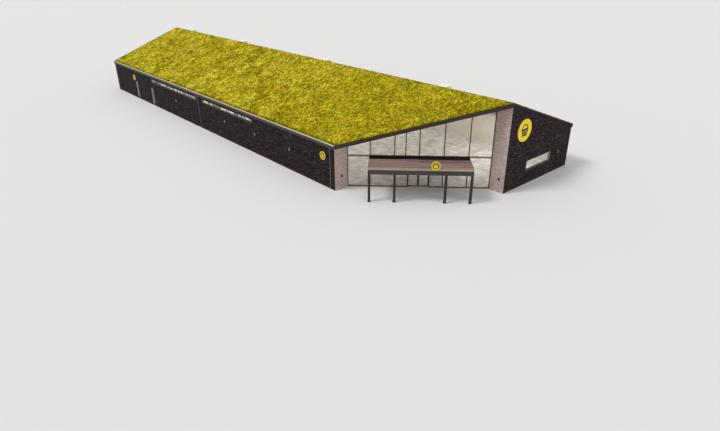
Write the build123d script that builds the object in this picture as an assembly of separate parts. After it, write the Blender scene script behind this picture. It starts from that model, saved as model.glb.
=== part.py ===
from build123d import *
import math
import os

# A single-storey supermarket hall under a planted gable roof, built at half its real size.
# Every size is in millimetres of the half-size model: the real building is twice as large.
# +Y runs along the ridge from the entrance end to the rear, +X to the right seen from the
# entrance, +Z up from the ground. The origin is the middle of the roof's outline, at ground level.
# The left front corner is cut off at 45 degrees: the glazed entrance is set back under the roof.

# The hall
half_width = 5100.0            # ridge line to the outer face of a long wall
left_wall_length = 25550.0     # outer face, from the cut corner to the rear
wall_thickness = 200.0
floor_thickness = 20.0

# The roof, with all depths measured straight down
eave_height = 2060.0           # top of the planting at the roof's edge
roof_pitch = 20.2              # degrees
roof_overhang = 40.0           # beyond the walls, all round
planting_depth = 45.0
deck_depth = 120.0
fascia_thickness = 20.0
fascia_height = 170.0
capping_height = 8.0           # pale metal strip on the eaves and on the front gable's verge
capping_width = 34.0
verge_height = 60.0            # strip on the roof's edge over a gable
upstand_thickness = 60.0       # brickwork of a gable that rises in front of the deck's end

# Glued timber rafters under the deck
rafter_width = 80.0
rafter_depth = 300.0
rafter_spacing = 2430.0
first_rafter = 1300.0          # from the front gable's outer face

# Square rooflights with pillow domes on the right slope, close to the ridge
rooflight_side = 460.0
rooflight_curb = 18.0          # thickness of the upstand that the dome stands on
rooflight_curb_rise = 18.0     # above the planting on the uphill side
rooflight_rise = 50.0          # height of the dome over the upstand
rooflight_shell = 12.0
rooflight_from_ridge = 600.0
first_rooflight = 4095.0       # from the front gable's outer face
last_rooflight = 1555.0        # from the rear gable's outer face
rooflight_shares = (0.0, 0.348, 0.705, 1.0)    # of the way from the first to the last

# Glazed entrance wall, parallel to the cut corner and set back from it
setback = 500.0
frame_depth = 75.0
frame_width = 30.0
bay = 1055.0                   # of the four middle bays
transom_top = 1475.0           # top of the crossbar, level with the canopy's felt
extra_post = 580.0             # an added upper post, left of the middle one
pane_thickness = 12.0

# Sliding doors in the middle of the entrance wall, behind its side screens
door_opening = 900.0
door_height = 1150.0           # underside of the track
track_height = 95.0
track_depth = 62.0
track_wall = 6.0
track_slot = 14.0
track_spare = 20.0             # beyond an open leaf
leaf_thickness = 25.0
leaf_frame = 32.0
leaf_overlap = 10.0            # of a closed leaf over the side screen's post
leaf_clearance = 6.0           # under the track, over the floor and between the two leaves
leaf_travel = 430.0
hanger_width = 40.0
hanger_thickness = 8.0
hanger_head = 40.0
hanger_gap = 0.5               # of the hanger's head over the track's lips
hanger_inset = 60.0

# Canopy in front of the four middle bays
canopy_reach = 1020.0          # posts' centres, in front of the cut corner's line
canopy_bay = 1045.0            # posts stand one and two of these from the entrance's middle
post_side = 105.0
beam_underside = 1235.0
beam_height = 200.0            # up to the edge strip
edge_strip_height = 95.0       # covers the beam's top and the ends of the boards
edge_strip_thickness = 12.0
side_beam_width = 50.0
board_thickness = 30.0
felt_front = 80.0              # where the boards end and the felt begins, behind the cut corner's line
felt_thickness = 24.0
soffit_thickness = 14.0

# Windows in the long walls, measured from the cut corner and repeated on the right wall
band_below_eave = 290.0        # head of a row of high windows, under the roof's edge
band_height = 225.0
short_band_start = 6575.0
short_band_width = 5535.0
long_band_start = 12665.0
long_band_width = 6560.0
first_mullion = 7645.0         # grid line that the mullions of both rows are counted from
mullion_spacing = 1520.0
slit_width = 500.0
slit_height = 1150.0
slit_sill = 40.0
slit_centres = (19255.0, 21875.0)
window_frame = 24.0
window_depth = 50.0
window_recess = 15.0

# Window, round sign and lamp in the front gable, measured from the ridge line
gable_window_start = 1580.0
gable_window_width = 2065.0
gable_window_sill = 600.0
gable_window_height = 500.0
gable_sign_radius = 490.0
gable_sign_place = 1050.0
gable_sign_level = 2610.0
sign_thickness = 22.0

# Small round signs on the left wall and on the canopy
side_sign_radius = 185.0
side_sign_level = 1415.0
side_sign_places = (795.0, 22050.0)
canopy_sign_radius = 180.0
canopy_sign_place = 595.0      # right of the entrance's middle
canopy_sign_level = 1655.0
sign_stay = 16.0

# Lamps and rainwater pipes
lamp_width = 50.0
lamp_depth = 30.0
lamp_height = 120.0
lamp_level = 1030.0
first_lamp = 3350.0            # from the cut corner
lamp_spacing = 3040.0
lamp_steps = (0, 1, 2, 4)      # a rainwater pipe stands at the step that is left out
gable_lamp_place = 4180.0
gable_lamp_level = 915.0
porch_lamp_places = (380.0, 270.0)     # from the left and right corner of the entrance
porch_lamp_level = 600.0
porch_lamp_height = 60.0
pipe_radius = 18.0
pipe_gap = 2.0
pipe_head_width = 70.0
pipe_head_height = 60.0
pipe_from_corner = 280.0       # of the first and last pipe; the middle one stands between the window rows

# Worked out from the sizes above
total_length = left_wall_length + half_width
front = -total_length / 2
rear = total_length / 2
cut_corner = front + half_width                  # left end of the cut corner's line
slope = math.tan(math.radians(roof_pitch))
roof_edge = half_width + roof_overhang
under_deck = planting_depth + deck_depth
rooflight_run = total_length - first_rooflight - last_rooflight
band_sill = eave_height - band_below_eave - band_height
between_bands = (short_band_start + short_band_width + long_band_start) / 2
pipe_places = (pipe_from_corner, between_bands, left_wall_length - pipe_from_corner)
sky = eave_height + half_width                   # well above everything
return_length = setback * math.sqrt(2)           # brick walls at both ends of the entrance
cut_length = half_width * math.sqrt(2)
middle = cut_length / 2
glass_start = setback
glass_end = cut_length - setback
frame_back = setback + frame_depth
track_centre = frame_back + track_depth / 2

# Each wall face has its own frame: X along it from left to right seen from outside,
# Y square to it into the building, Z up
entrance = Plane(origin=(-half_width, cut_corner, 0), x_dir=(1, -1, 0), z_dir=(0, 0, 1))
left_face = Plane(origin=(-half_width, cut_corner, 0), x_dir=(0, -1, 0), z_dir=(0, 0, 1))
gable_face = Plane(origin=(0, front, 0), x_dir=(1, 0, 0), z_dir=(0, 0, 1))
left_return_face = Plane(origin=(-half_width, cut_corner, 0), x_dir=(1, 0, 0), z_dir=(0, 0, 1))
right_return_face = Plane(origin=(0, front, 0), x_dir=(0, -1, 0), z_dir=(0, 0, 1))


def block(x0, x1, y0, y1, z0, z1):
    """A box between two opposite corners."""
    return Pos((x0 + x1) / 2, (y0 + y1) / 2, (z0 + z1) / 2) * Box(x1 - x0, y1 - y0, z1 - z0)


def plan(points, z0, z1):
    """A straight prism over an outline seen from above."""
    outline = make_face(Polyline(*[(x, y, z0) for x, y in points], close=True))
    return extrude(outline, amount=z1 - z0, dir=(0, 0, 1))


def across(points, y0, y1):
    """A straight prism along Y over an outline seen from the front, in X and Z."""
    outline = make_face(Polyline(*[(x, y0, z) for x, z in points], close=True))
    return extrude(outline, amount=y1 - y0, dir=(0, 1, 0))


def sideways(points, x0, x1):
    """A straight prism along X over an outline seen from the side, in Y and Z."""
    outline = make_face(Polyline(*[(x0, y, z) for y, z in points], close=True))
    return extrude(outline, amount=x1 - x0, dir=(1, 0, 0))


def other_side(piece):
    """The same piece on the other side of the ridge."""
    return mirror(piece, about=Plane.YZ)


def single(shape):
    """The one solid of a result, out of the list or compound that holds it."""
    return shape.solids()[0]


def save(node, *solids):
    """Writes one piece, or several like pieces that share a node."""
    shape = solids[0] if len(solids) == 1 else Compound(children=list(solids))
    export_step(shape, f"parts/{node}.step")


def roof_height(x):
    """Top of the planting over a place across the hall."""
    return eave_height + (roof_edge - abs(x)) * slope


def below_roof(drop):
    """All the space lower than the roof's top by a given depth."""
    side = roof_height(roof_edge) - drop
    ridge = roof_height(0) - drop
    points = [(-roof_edge, 0), (roof_edge, 0), (roof_edge, side), (0, ridge), (-roof_edge, side)]
    return across(points, front - roof_overhang, rear + roof_overhang)


def roof_layer(outline, top_drop, bottom_drop):
    """A layer that follows the roof's slopes, between two depths under its top."""
    column = plan(outline, 0, sky)
    return single((column & below_roof(top_drop)) - below_roof(bottom_drop))


def left_outline(reach, gable_reach):
    """Left half of the roof seen from above, from how far it reaches beyond the walls and the gable."""
    edge = -half_width - reach
    diagonal = front - reach * math.sqrt(2)
    back = rear + gable_reach
    return [(edge, diagonal - edge), (reach - reach * math.sqrt(2), front - reach),
            (0, front - reach), (0, back), (edge, back)]


def right_outline(reach, gable_reach):
    """Right half of the roof seen from above, from how far it reaches beyond the wall and the gables."""
    edge = half_width + reach
    low = front - gable_reach
    back = rear + gable_reach
    return [(0, low), (edge, low), (edge, back), (0, back)]


def edge_strips(width):
    """Outlines of the strips along the roof's edge, mitred where they meet."""
    left_low, left_peak = left_outline(roof_overhang, roof_overhang)[:2]
    inner_low, inner_peak = left_outline(roof_overhang - width, roof_overhang - width)[:2]
    rear_y = rear + roof_overhang
    front_y = front - roof_overhang
    inner_x = roof_edge - width
    return {
        "entrance": [left_low, left_peak, inner_peak, inner_low],
        "left": [(-roof_edge, rear_y), left_low, inner_low, (-inner_x, rear_y - width)],
        "right": [(roof_edge, front_y), (roof_edge, rear_y), (inner_x, rear_y - width),
                  (inner_x, front_y + width)],
        "rear": [(roof_edge, rear_y), (-roof_edge, rear_y), (-inner_x, rear_y - width),
                 (inner_x, rear_y - width)],
        "front": [left_peak, (roof_edge, front_y), (inner_x, front_y + width), inner_peak],
    }


def hall_outline():
    """The floor's outline, out to the front of the glazed wall."""
    inner = half_width - wall_thickness
    return [(-inner, cut_corner + wall_thickness),
            (-half_width + return_length + wall_thickness, cut_corner + wall_thickness),
            (-half_width + return_length, cut_corner), (0, front + return_length),
            (wall_thickness, front + return_length + wall_thickness),
            (wall_thickness, front + wall_thickness), (inner, front + wall_thickness),
            (inner, rear - wall_thickness), (-inner, rear - wall_thickness)]


def wall(outer_start, outer_end, inner_end, inner_start):
    """A wall with mitred ends that reaches up to the underside of the roof deck."""
    return plan([outer_start, outer_end, inner_end, inner_start], 0, sky) & below_roof(under_deck)


def upstand(x0, x1, y0, y1):
    """The outer leaf of a gable that rises in front of the deck's end, up to the planting."""
    return (block(x0, x1, y0, y1, 0, sky) & below_roof(planting_depth)) - below_roof(under_deck)


def window_pieces(width, height, mullions=()):
    """Frame and panes of a row of windows, with X along, Y into the wall and Z up from the sill."""
    frame = block(0, width, 0, window_depth, 0, height)
    glass = []
    half = window_frame / 2
    centres = [half, *sorted(mullions), width - half]
    y0 = (window_depth - pane_thickness) / 2
    for left, right in zip(centres, centres[1:]):
        x0 = left + half
        x1 = right - half
        frame -= block(x0, x1, 0, window_depth, window_frame, height - window_frame)
        glass.append(block(x0, x1, y0, y0 + pane_thickness, window_frame, height - window_frame))
    return single(frame), glass


def grid_lines(start, width):
    """The mullion grid's lines inside a row of windows, as distances from its far end."""
    lines = []
    line = first_mullion
    while line < start + width - 2 * window_frame:
        if line > start + 2 * window_frame:
            lines.append(start + width - line)
        line += mullion_spacing
    return lines


def side_windows():
    """Start, width, sill, height and mullions of each window in a long wall."""
    rows = []
    for start, width in ((short_band_start, short_band_width), (long_band_start, long_band_width)):
        rows.append((start, width, band_sill, band_height, grid_lines(start, width)))
    for centre in slit_centres:
        rows.append((centre - slit_width / 2, slit_width, slit_sill, slit_height, ()))
    return rows


def screen(posts, z0, z1, bottom_rail, top_rail, roof_drop):
    """Frame and panes of a stretch of the glazed wall between its first and last post."""
    half = frame_width / 2
    frame = block(posts[0] - half, posts[-1] + half, setback, frame_back, z0, z1)
    glass = []
    pane_front = setback + (frame_depth - pane_thickness) / 2
    limit = entrance.location.inverse() * below_roof(roof_drop + frame_width)
    for left, right in zip(posts, posts[1:]):
        hole = block(left + half, right - half, setback, frame_back, z0 + bottom_rail, z1 - top_rail)
        pane = block(left + half, right - half, pane_front, pane_front + pane_thickness,
                     z0 + bottom_rail, z1 - top_rail)
        if roof_drop:
            hole &= limit
            pane &= limit
        frame -= hole
        glass.append(entrance * single(pane))
    frame = entrance * frame
    if roof_drop:
        frame &= below_roof(roof_drop)
    return single(frame), glass


def door_leaf(side):
    """Frame and pane of the closed left (-1) or right (1) leaf, hung from two hangers."""
    near = leaf_clearance / 2
    far = door_opening / 2 + leaf_overlap
    z0 = floor_thickness + leaf_clearance
    z1 = door_height - leaf_clearance
    y0 = track_centre - leaf_thickness / 2
    frame = block(near, far, y0, y0 + leaf_thickness, z0, z1)
    hole = (near + leaf_frame, far - leaf_frame)
    frame -= block(*hole, y0, y0 + leaf_thickness, z0 + leaf_frame, z1 - leaf_frame)
    lip_top = door_height + track_wall
    for x in (near + hanger_inset, far - hanger_inset - hanger_width):
        frame += block(x, x + hanger_width, track_centre - hanger_thickness / 2,
                       track_centre + hanger_thickness / 2, z1, lip_top + hanger_gap)
        frame += block(x, x + hanger_width, track_centre - hanger_head / 2, track_centre + hanger_head / 2,
                       lip_top + hanger_gap, lip_top + hanger_gap + hanger_head / 2)
    glass = block(*hole, track_centre - pane_thickness / 2, track_centre + pane_thickness / 2,
                  z0 + leaf_frame, z1 - leaf_frame)
    if side < 0:
        frame = mirror(frame, about=Plane.YZ)
        glass = mirror(glass, about=Plane.YZ)
    place = entrance * Pos(middle, 0, 0)
    return place * single(frame), place * single(glass)


def lamp(face, place, level, height):
    """A lamp box on a wall's outer face."""
    return face * Pos(place, -lamp_depth / 2, level) * Box(lamp_width, lamp_depth, height)


def downpipe(place):
    """A round rainwater pipe on the left wall, with the square head it drops from."""
    top = roof_height(roof_edge) - fascia_height
    centre = -pipe_gap - pipe_radius
    pipe = Pos(-place, centre, top / 2) * Cylinder(pipe_radius, top)
    head = block(-place - pipe_head_width / 2, -place + pipe_head_width / 2,
                 centre - pipe_radius, 0, top - pipe_head_height, top)
    return left_face * single(pipe + head)


os.makedirs("parts", exist_ok=True)

# Floor and walls
thick = wall_thickness
left_wall = wall((-half_width, rear), (-half_width, cut_corner),
                 (-half_width + thick, cut_corner + thick), (-half_width + thick, rear - thick))
right_wall = wall((half_width, front), (half_width, rear),
                  (half_width - thick, rear - thick), (half_width - thick, front + thick))
rear_wall = wall((half_width, rear), (-half_width, rear),
                 (-half_width + thick, rear - thick), (half_width - thick, rear - thick))
gable_wall = wall((0, front), (half_width, front),
                  (half_width - thick, front + thick), (thick, front + thick))
rear_wall += upstand(-half_width, half_width, rear - upstand_thickness, rear)
gable_wall += upstand(0, half_width, front, front + upstand_thickness)
left_return = wall((-half_width, cut_corner), (-half_width + return_length, cut_corner),
                   (-half_width + return_length + thick, cut_corner + thick),
                   (-half_width + thick, cut_corner + thick))
right_return = wall((0, front + return_length), (0, front), (thick, front + thick),
                    (thick, front + return_length + thick))

side_frames = []
side_glass = []
for start, width, sill, height, mullions in side_windows():
    place = left_face * Pos(-start - width, 0, sill)
    hole = place * block(0, width, 0, thick, 0, height)
    left_wall -= hole
    right_wall -= other_side(hole)
    frame, glass = window_pieces(width, height, mullions)
    seat = place * Pos(0, window_recess, 0)
    side_frames.append(seat * frame)
    side_glass += [seat * pane for pane in glass]

gable_place = gable_face * Pos(gable_window_start, 0, gable_window_sill)
gable_wall -= gable_place * block(0, gable_window_width, 0, thick, 0, gable_window_height)
gable_frame, gable_glass = window_pieces(gable_window_width, gable_window_height)
gable_seat = gable_place * Pos(0, window_recess, 0)

save("floor_slab", plan(hall_outline(), 0, floor_thickness))
save("left_wall", single(left_wall))
save("right_wall", single(right_wall))
save("rear_gable_wall", single(rear_wall))
save("front_gable_wall", single(gable_wall))
save("entrance_return_left", single(left_return))
save("entrance_return_right", single(right_return))
save("side_window_frames", *side_frames, *[other_side(piece) for piece in side_frames])
save("side_window_glass", *side_glass, *[other_side(piece) for piece in side_glass])
save("gable_window_frame", gable_seat * gable_frame)
save("gable_window_glass", *[gable_seat * pane for pane in gable_glass])

# Roof deck and planting, with square wells for the rooflights
behind_fascia = roof_overhang - fascia_thickness
deck_left = roof_layer(left_outline(behind_fascia, -upstand_thickness), planting_depth, under_deck)
deck_right = roof_layer(right_outline(behind_fascia, -upstand_thickness), planting_depth, under_deck)
planting_left = roof_layer(left_outline(behind_fascia, behind_fascia), 0, planting_depth)
planting_right = roof_layer(right_outline(behind_fascia, behind_fascia), 0, planting_depth)
half_light = rooflight_side / 2
curb_top = roof_height(rooflight_from_ridge - half_light) + rooflight_curb_rise


def pillow(half_side, rise):
    """The part of a ball that bulges over a square and comes down to its four corners."""
    radius = (2 * half_side ** 2 + rise ** 2) / (2 * rise)
    ball = Pos(0, 0, curb_top + rise - radius) * Sphere(radius)
    return ball & block(-half_side, half_side, -half_side, half_side, curb_top, curb_top + rise)


dome = single(pillow(half_light, rooflight_rise)
              - pillow(half_light - rooflight_shell, rooflight_rise - rooflight_shell))
curbs = []
domes = []
for share in rooflight_shares:
    place = Pos(rooflight_from_ridge, front + first_rooflight + share * rooflight_run, 0)
    shaft = place * block(-half_light, half_light, -half_light, half_light, 0, curb_top)
    inner = half_light - rooflight_curb
    well = place * block(-inner, inner, -inner, inner, 0, curb_top)
    curbs.append(single((shaft - well) - below_roof(under_deck)))
    deck_right -= shaft
    planting_right -= shaft
    domes.append(place * dome)

save("roof_deck_left", deck_left)
save("roof_deck_right", single(deck_right))
save("roof_planting_left", planting_left)
save("roof_planting_right", single(planting_right))
save("rooflight_curbs", *curbs)
save("rooflight_domes", *domes)

# Fascia boards on the eaves and over the entrance, low strips on the gables, and the pale capping
boards = edge_strips(fascia_thickness)
save("fascia_entrance", roof_layer(boards["entrance"], 0, fascia_height))
save("fascia_eaves", roof_layer(boards["left"], 0, fascia_height),
     roof_layer(boards["right"], 0, fascia_height))
save("fascia_gables", roof_layer(boards["front"], 0, verge_height),
     roof_layer(boards["rear"], 0, verge_height))


def capping(outline):
    """A thin strip lying on the roof's edge."""
    lifted = plan(outline, 0, sky) & (Pos(0, 0, capping_height) * below_roof(0))
    return single(lifted - below_roof(0))


strips = edge_strips(capping_width)
save("roof_capping", capping(strips["left"]), single(capping(strips["front"]) + capping(strips["right"])))

# Rafters, cut to length where they meet the walls and the glazed wall
inside = plan(hall_outline(), 0, sky) - entrance * block(0, cut_length, 0, frame_back, 0, sky)
rafter_zone = (inside & below_roof(under_deck)) - below_roof(under_deck + rafter_depth)
left_rafters = []
right_rafters = []
y = front + first_rafter
while y + rafter_width < rear - wall_thickness:
    left_rafters.append(single(rafter_zone & block(-half_width, 0, y, y + rafter_width, 0, sky)))
    right_rafters.append(single(rafter_zone & block(0, half_width, y, y + rafter_width, 0, sky)))
    y += rafter_spacing
save("rafters_left", *left_rafters)
save("rafters_right", *right_rafters)

# Glazed entrance wall
half = frame_width / 2
jamb = door_opening / 2 + half
first_post = glass_start + half
last_post = glass_end - half
transom_foot = transom_top - frame_width
left_posts = [first_post, middle - 2 * bay, middle - bay, middle - jamb]
right_posts = [2 * middle - post for post in reversed(left_posts)]
upper_posts = [first_post, last_post] + [middle + number * bay for number in range(-2, 3)]
upper_posts = sorted(upper_posts + [middle - extra_post])
left_screen, left_panes = screen(left_posts, floor_thickness, transom_foot, frame_width, 0, 0)
right_screen, right_panes = screen(right_posts, floor_thickness, transom_foot, frame_width, 0, 0)
top_screen, top_panes = screen(upper_posts, transom_foot, sky, frame_width, 0, under_deck)
lintel = block(middle - door_opening / 2, middle + door_opening / 2, setback, frame_back,
               door_height, door_height + frame_width)
overlight_front = setback + (frame_depth - pane_thickness) / 2
overlight = block(middle - door_opening / 2, middle + door_opening / 2, overlight_front,
                  overlight_front + pane_thickness, door_height + frame_width, transom_foot)

track_half = door_opening / 2 + leaf_overlap + leaf_travel + track_spare
track = block(-track_half, track_half, frame_back, frame_back + track_depth,
              door_height, door_height + track_height)
track -= block(-track_half, track_half, frame_back + track_wall, frame_back + track_depth - track_wall,
               door_height + track_wall, door_height + track_height - track_wall)
track -= block(-track_half, track_half, track_centre - track_slot / 2, track_centre + track_slot / 2,
               door_height, door_height + track_wall)
track = Pos(middle, 0, 0) * track

save("entrance_screen_left", left_screen)
save("entrance_screen_right", right_screen)
save("entrance_screen_top", top_screen)
save("entrance_glass_lower", *left_panes, *right_panes, entrance * overlight)
save("entrance_glass_upper", *top_panes)
save("door_lintel_and_track", entrance * single(lintel + track))
for side, name in ((-1, "left"), (1, "right")):
    leaf, pane = door_leaf(side)
    save(f"door_leaf_{name}", leaf)
    save(f"door_glass_{name}", pane)

# Canopy: posts, beams, boards that fall towards the building, flat strip of roof felt behind them,
# soffit and the strip along the front edge
post_lines = [middle + number * canopy_bay for number in (-2, -1, 1, 2)]
half_post = post_side / 2
canopy_left = post_lines[0] - half_post
canopy_right = post_lines[-1] + half_post
beam_front = -canopy_reach - half_post
beam_back = -canopy_reach + half_post
strip_foot = beam_underside + beam_height
strip_top = strip_foot + edge_strip_height
strip_front = beam_front - edge_strip_thickness
beam_top = strip_top - board_thickness
board_foot = transom_top - board_thickness
board_slope = (board_foot - beam_top) / (felt_front - beam_front)
beam_back_top = beam_top + post_side * board_slope
felt_foot = transom_top - felt_thickness

posts = [entrance * block(line - half_post, line + half_post, beam_front, beam_back, 0, beam_underside)
         for line in post_lines]
front_beam = sideways([(beam_front, beam_underside), (beam_back, beam_underside),
                       (beam_back, beam_back_top), (beam_front, beam_top)], canopy_left, canopy_right)
side_profile = [(beam_back, beam_underside), (setback, beam_underside), (setback, felt_foot),
                (felt_front, felt_foot), (felt_front, board_foot), (beam_back, beam_back_top)]
side_beams = [sideways(side_profile, canopy_left, canopy_left + side_beam_width),
              sideways(side_profile, canopy_right - side_beam_width, canopy_right)]
slope_boards = sideways([(beam_front, beam_top), (felt_front, board_foot), (felt_front, transom_top),
                         (beam_front, strip_top)], canopy_left, canopy_right)
edge_strip = block(canopy_left, canopy_right, strip_front, beam_front, strip_foot, strip_top)
felt = block(canopy_left, canopy_right, felt_front, setback, felt_foot, transom_top)
soffit = block(canopy_left + side_beam_width, canopy_right - side_beam_width, beam_back, setback,
               beam_underside, beam_underside + soffit_thickness)

save("canopy_posts", *posts)
save("canopy_front_beam", entrance * front_beam)
save("canopy_side_beams", *[entrance * beam for beam in side_beams])
save("canopy_boards", entrance * slope_boards)
save("canopy_edge_strip", entrance * edge_strip)
save("canopy_roof_felt", entrance * felt)
save("canopy_soffit", entrance * soffit)

# Bare round signs
def round_sign(radius):
    """A flat upright disc whose back lies on Y = 0 and whose front looks along -Y."""
    return Pos(0, -sign_thickness / 2, 0) * Rot(90, 0, 0) * Cylinder(radius, sign_thickness)


canopy_sign = Pos(0, 0, canopy_sign_level) * round_sign(canopy_sign_radius)
for x in (-canopy_sign_radius / 2, canopy_sign_radius / 2):
    canopy_sign += block(x - sign_stay / 2, x + sign_stay / 2, 0, edge_strip_thickness,
                         strip_top, canopy_sign_level + canopy_sign_radius / 2)
canopy_sign = Pos(middle + canopy_sign_place, strip_front, 0) * canopy_sign

save("gable_sign", gable_face * Pos(gable_sign_place, 0, gable_sign_level) * round_sign(gable_sign_radius))
save("side_signs", *[left_face * Pos(-place, 0, side_sign_level) * round_sign(side_sign_radius)
                     for place in side_sign_places])
save("canopy_sign", entrance * single(canopy_sign))

# Lamps and rainwater pipes
lamps = [lamp(left_face, -first_lamp - step * lamp_spacing, lamp_level, lamp_height) for step in lamp_steps]
lamps += [other_side(piece) for piece in lamps]
lamps.append(lamp(gable_face, gable_lamp_place, gable_lamp_level, lamp_height))
lamps.append(lamp(left_return_face, porch_lamp_places[0], porch_lamp_level, porch_lamp_height))
lamps.append(lamp(right_return_face, -porch_lamp_places[1], porch_lamp_level, porch_lamp_height))
pipes = [downpipe(place) for place in pipe_places]
save("wall_lamps", *lamps)
save("downpipes", *pipes, *[other_side(pipe) for pipe in pipes])
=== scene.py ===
"""Looks of the half-size supermarket hall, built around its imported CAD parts.

All lengths are metres of the half-size model, in the frame of the CAD parts: +Y runs along the
ridge from the entrance end to the rear, +X to the right, +Z up, with the origin on the ground.
"""

import logging
import math
from dataclasses import dataclass, field, replace
from enum import Enum
from typing import Sequence

import bpy
import numpy as np
from mathutils import Matrix, Vector


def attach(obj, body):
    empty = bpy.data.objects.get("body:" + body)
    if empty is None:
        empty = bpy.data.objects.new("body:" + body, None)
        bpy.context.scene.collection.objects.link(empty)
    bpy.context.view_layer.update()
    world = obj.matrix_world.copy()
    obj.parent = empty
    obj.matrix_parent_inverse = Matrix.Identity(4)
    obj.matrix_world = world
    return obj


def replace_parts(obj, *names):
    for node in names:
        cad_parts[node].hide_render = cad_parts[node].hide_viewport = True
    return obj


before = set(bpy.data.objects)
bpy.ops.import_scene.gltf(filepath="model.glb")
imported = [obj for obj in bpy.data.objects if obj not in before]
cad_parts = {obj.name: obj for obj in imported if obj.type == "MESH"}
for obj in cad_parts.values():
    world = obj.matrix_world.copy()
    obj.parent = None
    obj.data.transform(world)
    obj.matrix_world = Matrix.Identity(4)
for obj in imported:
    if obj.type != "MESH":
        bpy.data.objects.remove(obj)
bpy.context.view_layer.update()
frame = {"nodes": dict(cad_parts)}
log = logging.getLogger("hall")

Array = np.ndarray
Shape = tuple[Array, list[Array]]
Colour = tuple[float, float, float]
Profile = tuple[tuple[float, float], ...]
Ends = tuple[tuple[float, float], tuple[float, float]]
Socket = bpy.types.NodeSocket
Inputs = dict[str | int, object]
ROOT_HALF = math.sqrt(0.5)


class Body(Enum):
    """Bodies of the CAD model that a piece can ride on."""

    BUILDING = "building"
    LEFT_DOOR = "left_door"
    RIGHT_DOOR = "right_door"


class Slot(Enum):
    """Material slots of the record, one named for each new piece."""

    DARK_BRICK = "dark_brick"
    LIGHT_BRICK = "light_brick"
    DARK_METAL = "dark_metal"
    PALE_METAL = "pale_metal"
    GREY_METAL = "grey_metal"
    PLANTING = "planting"
    BOARDS = "boards"
    FELT = "felt"
    SIGN = "sign"
    LAMP = "lamp"


# Sizes that several assemblies share


@dataclass(frozen=True)
class Hall:
    """Main sizes of the hall, as in the CAD parts."""

    half_width: float = 5.1
    front: float = -15.325
    rear: float = 15.325
    overhang: float = 0.04
    eave: float = 2.06
    slope: float = math.tan(math.radians(20.2))
    planting: float = 0.045
    under_deck: float = 0.165
    setback: float = 0.5

    @property
    def cut(self) -> float:
        """Y of the left end of the cut corner."""
        return self.front + self.half_width

    @property
    def edge(self) -> float:
        """Half the width of the roof."""
        return self.half_width + self.overhang

    def roof(self, x: Array | float) -> Array | float:
        """Height of the roof's top: the eave plus the slope times the way in from the edge."""
        return self.eave + (self.edge - np.abs(x)) * self.slope


HALL = Hall()


@dataclass(frozen=True)
class Face:
    """Frame of an upright face: x along it seen from outside, y square into the hall, z up."""

    foot: tuple[float, float]
    along: tuple[float, float]

    def place(self, points: Array) -> Array:
        """Turns face coordinates, (n, 3), into model ones: foot + x * along + y * inward + z * up."""
        ax, ay = self.along
        x, y, z = points[:, 0], points[:, 1], points[:, 2]
        return np.stack([self.foot[0] + x * ax - y * ay, self.foot[1] + x * ay + y * ax, z], axis=1)


LEFT = Face((-HALL.half_width, HALL.rear), (0.0, -1.0))
RIGHT = Face((HALL.half_width, HALL.front), (0.0, 1.0))
REAR = Face((HALL.half_width, HALL.rear), (-1.0, 0.0))
GABLE = Face((0.0, HALL.front), (1.0, 0.0))
ENTRANCE = Face((-HALL.half_width, HALL.cut), (ROOT_HALF, -ROOT_HALF))
LEFT_RETURN = Face((-HALL.half_width, HALL.cut), (1.0, 0.0))
RETURN_LENGTH = HALL.setback * math.sqrt(2)
RIGHT_RETURN = Face((0.0, HALL.front + RETURN_LENGTH), (0.0, -1.0))


def side_x(face: Face, place: Array | float) -> Array | float:
    """X on a long wall's face of a distance from the cut corner towards the rear."""
    return HALL.rear - HALL.cut - place if face is LEFT else HALL.cut - HALL.front + place


# Meshes worked out as whole arrays


def linked(name: str, data: bpy.types.ID) -> bpy.types.Object:
    """Puts a new object into the scene."""
    thing = bpy.data.objects.new(name, data)
    bpy.context.scene.collection.objects.link(thing)
    return thing


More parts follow.
